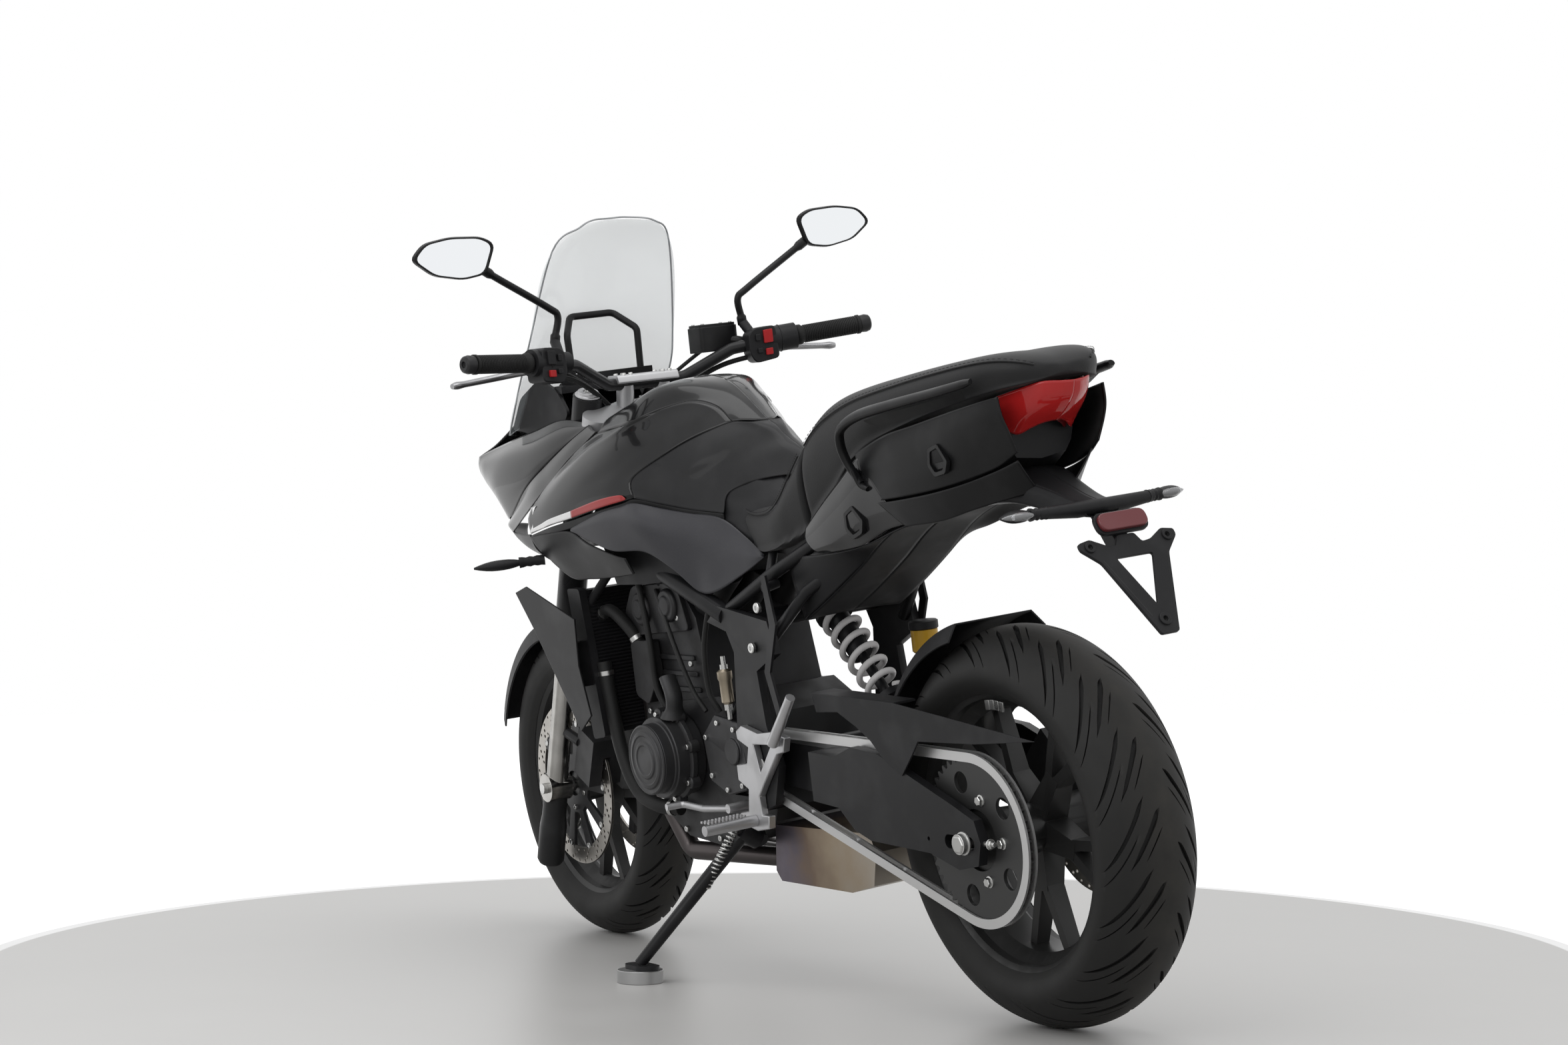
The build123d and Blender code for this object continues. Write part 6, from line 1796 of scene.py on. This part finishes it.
    def build(self, shop: Workshop) -> None:
        """Makes the pieces."""
        chassis = Body.CHASSIS
        shop.piece("cover_rings", self.covers(), Finish.COVER, chassis, bevel=0.6)
        shop.piece("engine_screws", self.screws(), Finish.ZINC, chassis, bevel=0.4)
        shop.piece("cylinder_head", self.head(), Finish.ENGINE, chassis, bevel=1.5)
        hoses, clips = self.hoses()
        shop.piece("coolant_hoses", hoses, Finish.HOSE, chassis)
        shop.piece("hose_clips", clips, Finish.ZINC, chassis)
        body, ends = self.valve()
        shop.piece("valve_body", body, Finish.BRASS, chassis)
        shop.piece("valve_fittings", ends, Finish.ZINC, chassis)
        shop.piece("radiator_fins", self.fins(), Finish.PLASTIC, chassis)
        shop.piece("stand_springs", self.spring((664, 160, 292), (712, 206, 190), 7.0, 1.7, 16)
                   + self.spring((668, 164, 288), (716, 212, 186), 4.0, 1.3, 14),
                   Finish.ZINC, chassis)
        bottle = lathe([(0, 20), (3, 23), (38, 23), (41, 19)], (433, -112, 556), (0, 0, 1), 32)
        cap = lathe([(0, 22), (2, 25), (14, 25), (16, 22), (16, 0)], (433, -112, 594), (0, 0, 1), 32)
        shop.piece("rear_fluid_bottle", bottle, Finish.YELLOW, chassis)
        shop.piece("rear_fluid_cap", cap + tube(curve([(433, -112, 562), (436, -114, 530), (452, -120, 470),
                                                       (470, -118, 420)], 8), 4, 12), Finish.PLASTIC, chassis)
        nuts = [bolt((0, s * 150, 315), (0, s, 0), 15, 14, False) for s in (1, -1)]
        nuts += [tube([(-34, s * 142, 316), (-70, s * 142, 317)], 4, 12)
                 + bolt((-58, s * 142, 316.6), (-1, 0, 0), 7, 6, False) for s in (1, -1)]
        nuts += [bolt((575, s * 151, 400), (0, s, 0), 13, 8, False) for s in (1, -1)]
        shop.piece("axle_nuts", gather(nuts), Finish.ZINC, chassis, bevel=0.5)
        serration = [block((590 + dx, s * y, 322), (5, 3.2, 4)) for s in (1, -1) for dx in (-11, 0, 11)
                     for y in range(190, 262, 7)]
        shop.piece("peg_teeth", gather(serration), Finish.SILVER, chassis, bevel=0.5)


# ---------------------------------------------------------------- frame nodes kept as they are
KEPT: list[tuple[str, Finish, float]] = [
    ("main_frame", Finish.FRAME, 1.2), ("subframe", Finish.FRAME, 1.0), ("engine", Finish.ENGINE, 2.5),
    ("engine_covers", Finish.COVER, 2.0), ("radiator", Finish.PLASTIC, 1.0),
    ("radiator_shrouds", Finish.PLASTIC_FINE, 1.0), ("exhaust", Finish.EXHAUST, 1.0),
    ("headlights", Finish.LENS, 0.8), ("windscreen", Finish.SCREEN, 0.0),
    ("screen_adjuster", Finish.PLASTIC_FINE, 0.5), ("instrument_panel", Finish.PLASTIC, 1.0),
    ("swingarm", Finish.FRAME, 1.5), ("rear_axle", Finish.ZINC, 0.8), ("shock_absorber", Finish.FRAME, 0.8),
    ("shock_spring", Finish.SPRING, 0.0), ("chain_guard", Finish.PLASTIC, 0.8),
    ("rear_hugger", Finish.PLASTIC, 0.8), ("footpeg_hangers", Finish.SILVER, 1.5),
    ("footpegs", Finish.SILVER, 0.6), ("foot_controls", Finish.SILVER, 0.6),
    ("rear_brake", Finish.CALIPER, 0.8), ("stand_bracket", Finish.FRAME, 0.8), ("yokes", Finish.YOKE, 1.5),
    ("fork_outers", Finish.FORK, 0.8), ("fork_inners", Finish.CHROME, 0.6),
    ("front_axle", Finish.ZINC, 0.5), ("front_mudguard", Finish.PLASTIC, 0.8),
    ("front_calipers", Finish.CALIPER, 1.2), ("handlebar", Finish.FORK, 0.5),
    ("hand_controls", Finish.PLASTIC, 1.0), ("front_rim", Finish.ALLOY_BLACK, 1.2),
    ("rear_rim", Finish.ALLOY_BLACK, 1.2), ("rear_sprocket", Finish.ALLOY_BLACK, 0.4),
    ("side_stand", Finish.FRAME, 0.8), ("stand_puck", Finish.PUCK, 1.0),
]


class KeptNodes:
    """The frame's own nodes, shown with rounded edges in their real finishes."""

    def build(self, shop: Workshop) -> None:
        """Dresses each node that nothing has replaced."""
        for node, finish, bevel in KEPT:
            shop.dress(node, finish, bevel)


# ---------------------------------------------------------------- stage
@dataclass(frozen=True)
class Lamp:
    """A soft box above or beside the machine."""

    name: str
    spot: Point
    target: Point
    power: float
    size: tuple[float, float]

    def build(self) -> None:
        """Hangs the lamp."""
        data = bpy.data.lights.new(self.name, "AREA")
        data.shape = "RECTANGLE"
        data.size, data.size_y = self.size
        data.energy = self.power
        lamp = bpy.data.objects.new(self.name, data)
        lamp.location = self.spot
        lamp.rotation_euler = (Vector(self.target) - Vector(self.spot)).to_track_quat("-Z", "Y").to_euler()
        bpy.context.scene.collection.objects.link(lamp)


@dataclass(frozen=True)
class Stage:
    """The pale studio round the machine, and the camera."""

    floor_radius: float = 9.0
    apron: float = 1.44
    middle: Point = (0.273, -0.250, 0.0)
    eye: Point = (-4.635, 2.784, 0.747)
    look: Point = (0.85056, -0.52584, 0.00679)
    lens: float = 72.91
    sensor: float = 36.0
    ambient: float = 0.75

    def floor(self) -> None:
        """A pale floor that turns white beyond the apron, with a thin skirting line behind the machine."""
        s = Shader("studio_floor")
        place = s.node("ShaderNodeNewGeometry", {}, {}, "Position")
        marks = s.node("ShaderNodeTexNoise", {}, {"Vector": place, "Scale": 3.0, "Detail": 4.0})
        reach = s.node("ShaderNodeVectorMath", {"operation": "DISTANCE"}, {0: place, 1: self.middle}, "Value")
        depth = s.node("ShaderNodeVectorMath", {"operation": "DOT_PRODUCT"}, {0: place, 1: self.look},
                       "Value")
        far = depth.above(0.36, 0.006)
        beyond, skirting = reach.above(self.apron, 0.006) * far, reach.above(self.apron + 0.03, 0.006)
        worn = s.mix(marks, (0.46, 0.455, 0.445, 1), (0.55, 0.545, 0.535, 1))
        s.set(Base_Color=s.mix(beyond, worn, grey(0.0)), Roughness=marks * 0.12 + 0.30,
              Specular_IOR_Level=0.35,
              Emission_Color=s.mix(beyond, grey(0.0), s.mix(skirting, grey(0.62), grey(1.0))),
              Emission_Strength=1.0)
        disc = lathe([(0, self.floor_radius / MM), (-4, self.floor_radius / MM)], (0, 0, 0), (0, 0, 1), 128)
        mesh = bpy.data.meshes.new("studio_floor")
        mesh.from_pydata((disc.points * MM).tolist(), [], disc.faces)
        floor = bpy.data.objects.new("studio_floor", mesh)
        bpy.context.scene.collection.objects.link(floor)
        mesh.materials.append(s.material)

    def world(self) -> None:
        """White for the camera and what reflects it, and plain light for the rest."""
        world = bpy.data.worlds.new("studio")
        bpy.context.scene.world = world
        world.use_nodes = True
        tree = world.node_tree
        tree.nodes.clear()
        path = tree.nodes.new("ShaderNodeLightPath")
        seen = tree.nodes.new("ShaderNodeBackground")
        plain = tree.nodes.new("ShaderNodeBackground")
        seen.inputs["Color"].default_value = grey(1.0)
        plain.inputs["Color"].default_value = grey(1.0)
        plain.inputs["Strength"].default_value = self.ambient
        mixer = tree.nodes.new("ShaderNodeMixShader")
        out = tree.nodes.new("ShaderNodeOutputWorld")
        shown = path.outputs["Is Camera Ray"]
        for other in ("Is Glossy Ray", "Is Transmission Ray"):
            either = tree.nodes.new("ShaderNodeMath")
            either.operation = "MAXIMUM"
            tree.links.new(shown, either.inputs[0])
            tree.links.new(path.outputs[other], either.inputs[1])
            shown = either.outputs[0]
        tree.links.new(shown, mixer.inputs[0])
        tree.links.new(plain.outputs[0], mixer.inputs[1])
        tree.links.new(seen.outputs[0], mixer.inputs[2])
        tree.links.new(mixer.outputs[0], out.inputs[0])

    def camera(self) -> None:
        """Stands the camera where it sees the machine from behind its left side."""
        data = bpy.data.cameras.new("camera")
        data.lens, data.sensor_width = self.lens, self.sensor
        camera = bpy.data.objects.new("camera", data)
        camera.location = self.eye
        camera.rotation_euler = Vector(self.look).to_track_quat("-Z", "Y").to_euler()
        bpy.context.scene.collection.objects.link(camera)
        bpy.context.scene.camera = camera

    def build(self) -> None:
        """Sets up the whole stage."""
        scene = bpy.context.scene
        scene.view_settings.view_transform = "Standard"
        self.floor()
        self.world()
        self.camera()
        for lamp in LAMPS:
            lamp.build()


LAMPS = [
    Lamp("top", (-0.4, 0.4, 3.6), (0, 0, 0.5), 40.0, (3.2, 2.2)),
    Lamp("side", (-1.4, 3.6, 2.2), (0, 0, 0.5), 30.0, (3.0, 1.6)),
]


def main() -> None:
    """Builds the stage and every sub-assembly."""
    Stage().build()
    shop = Workshop()
    FrontBody().build(shop)
    Seats().build(shop)
    Tail().build(shop)
    Wheels().build(shop)
    Cockpit().build(shop)
    EngineBay().build(shop)
    KeptNodes().build(shop)
    bpy.context.view_layer.update()


if __name__ == "__main__":
    main()
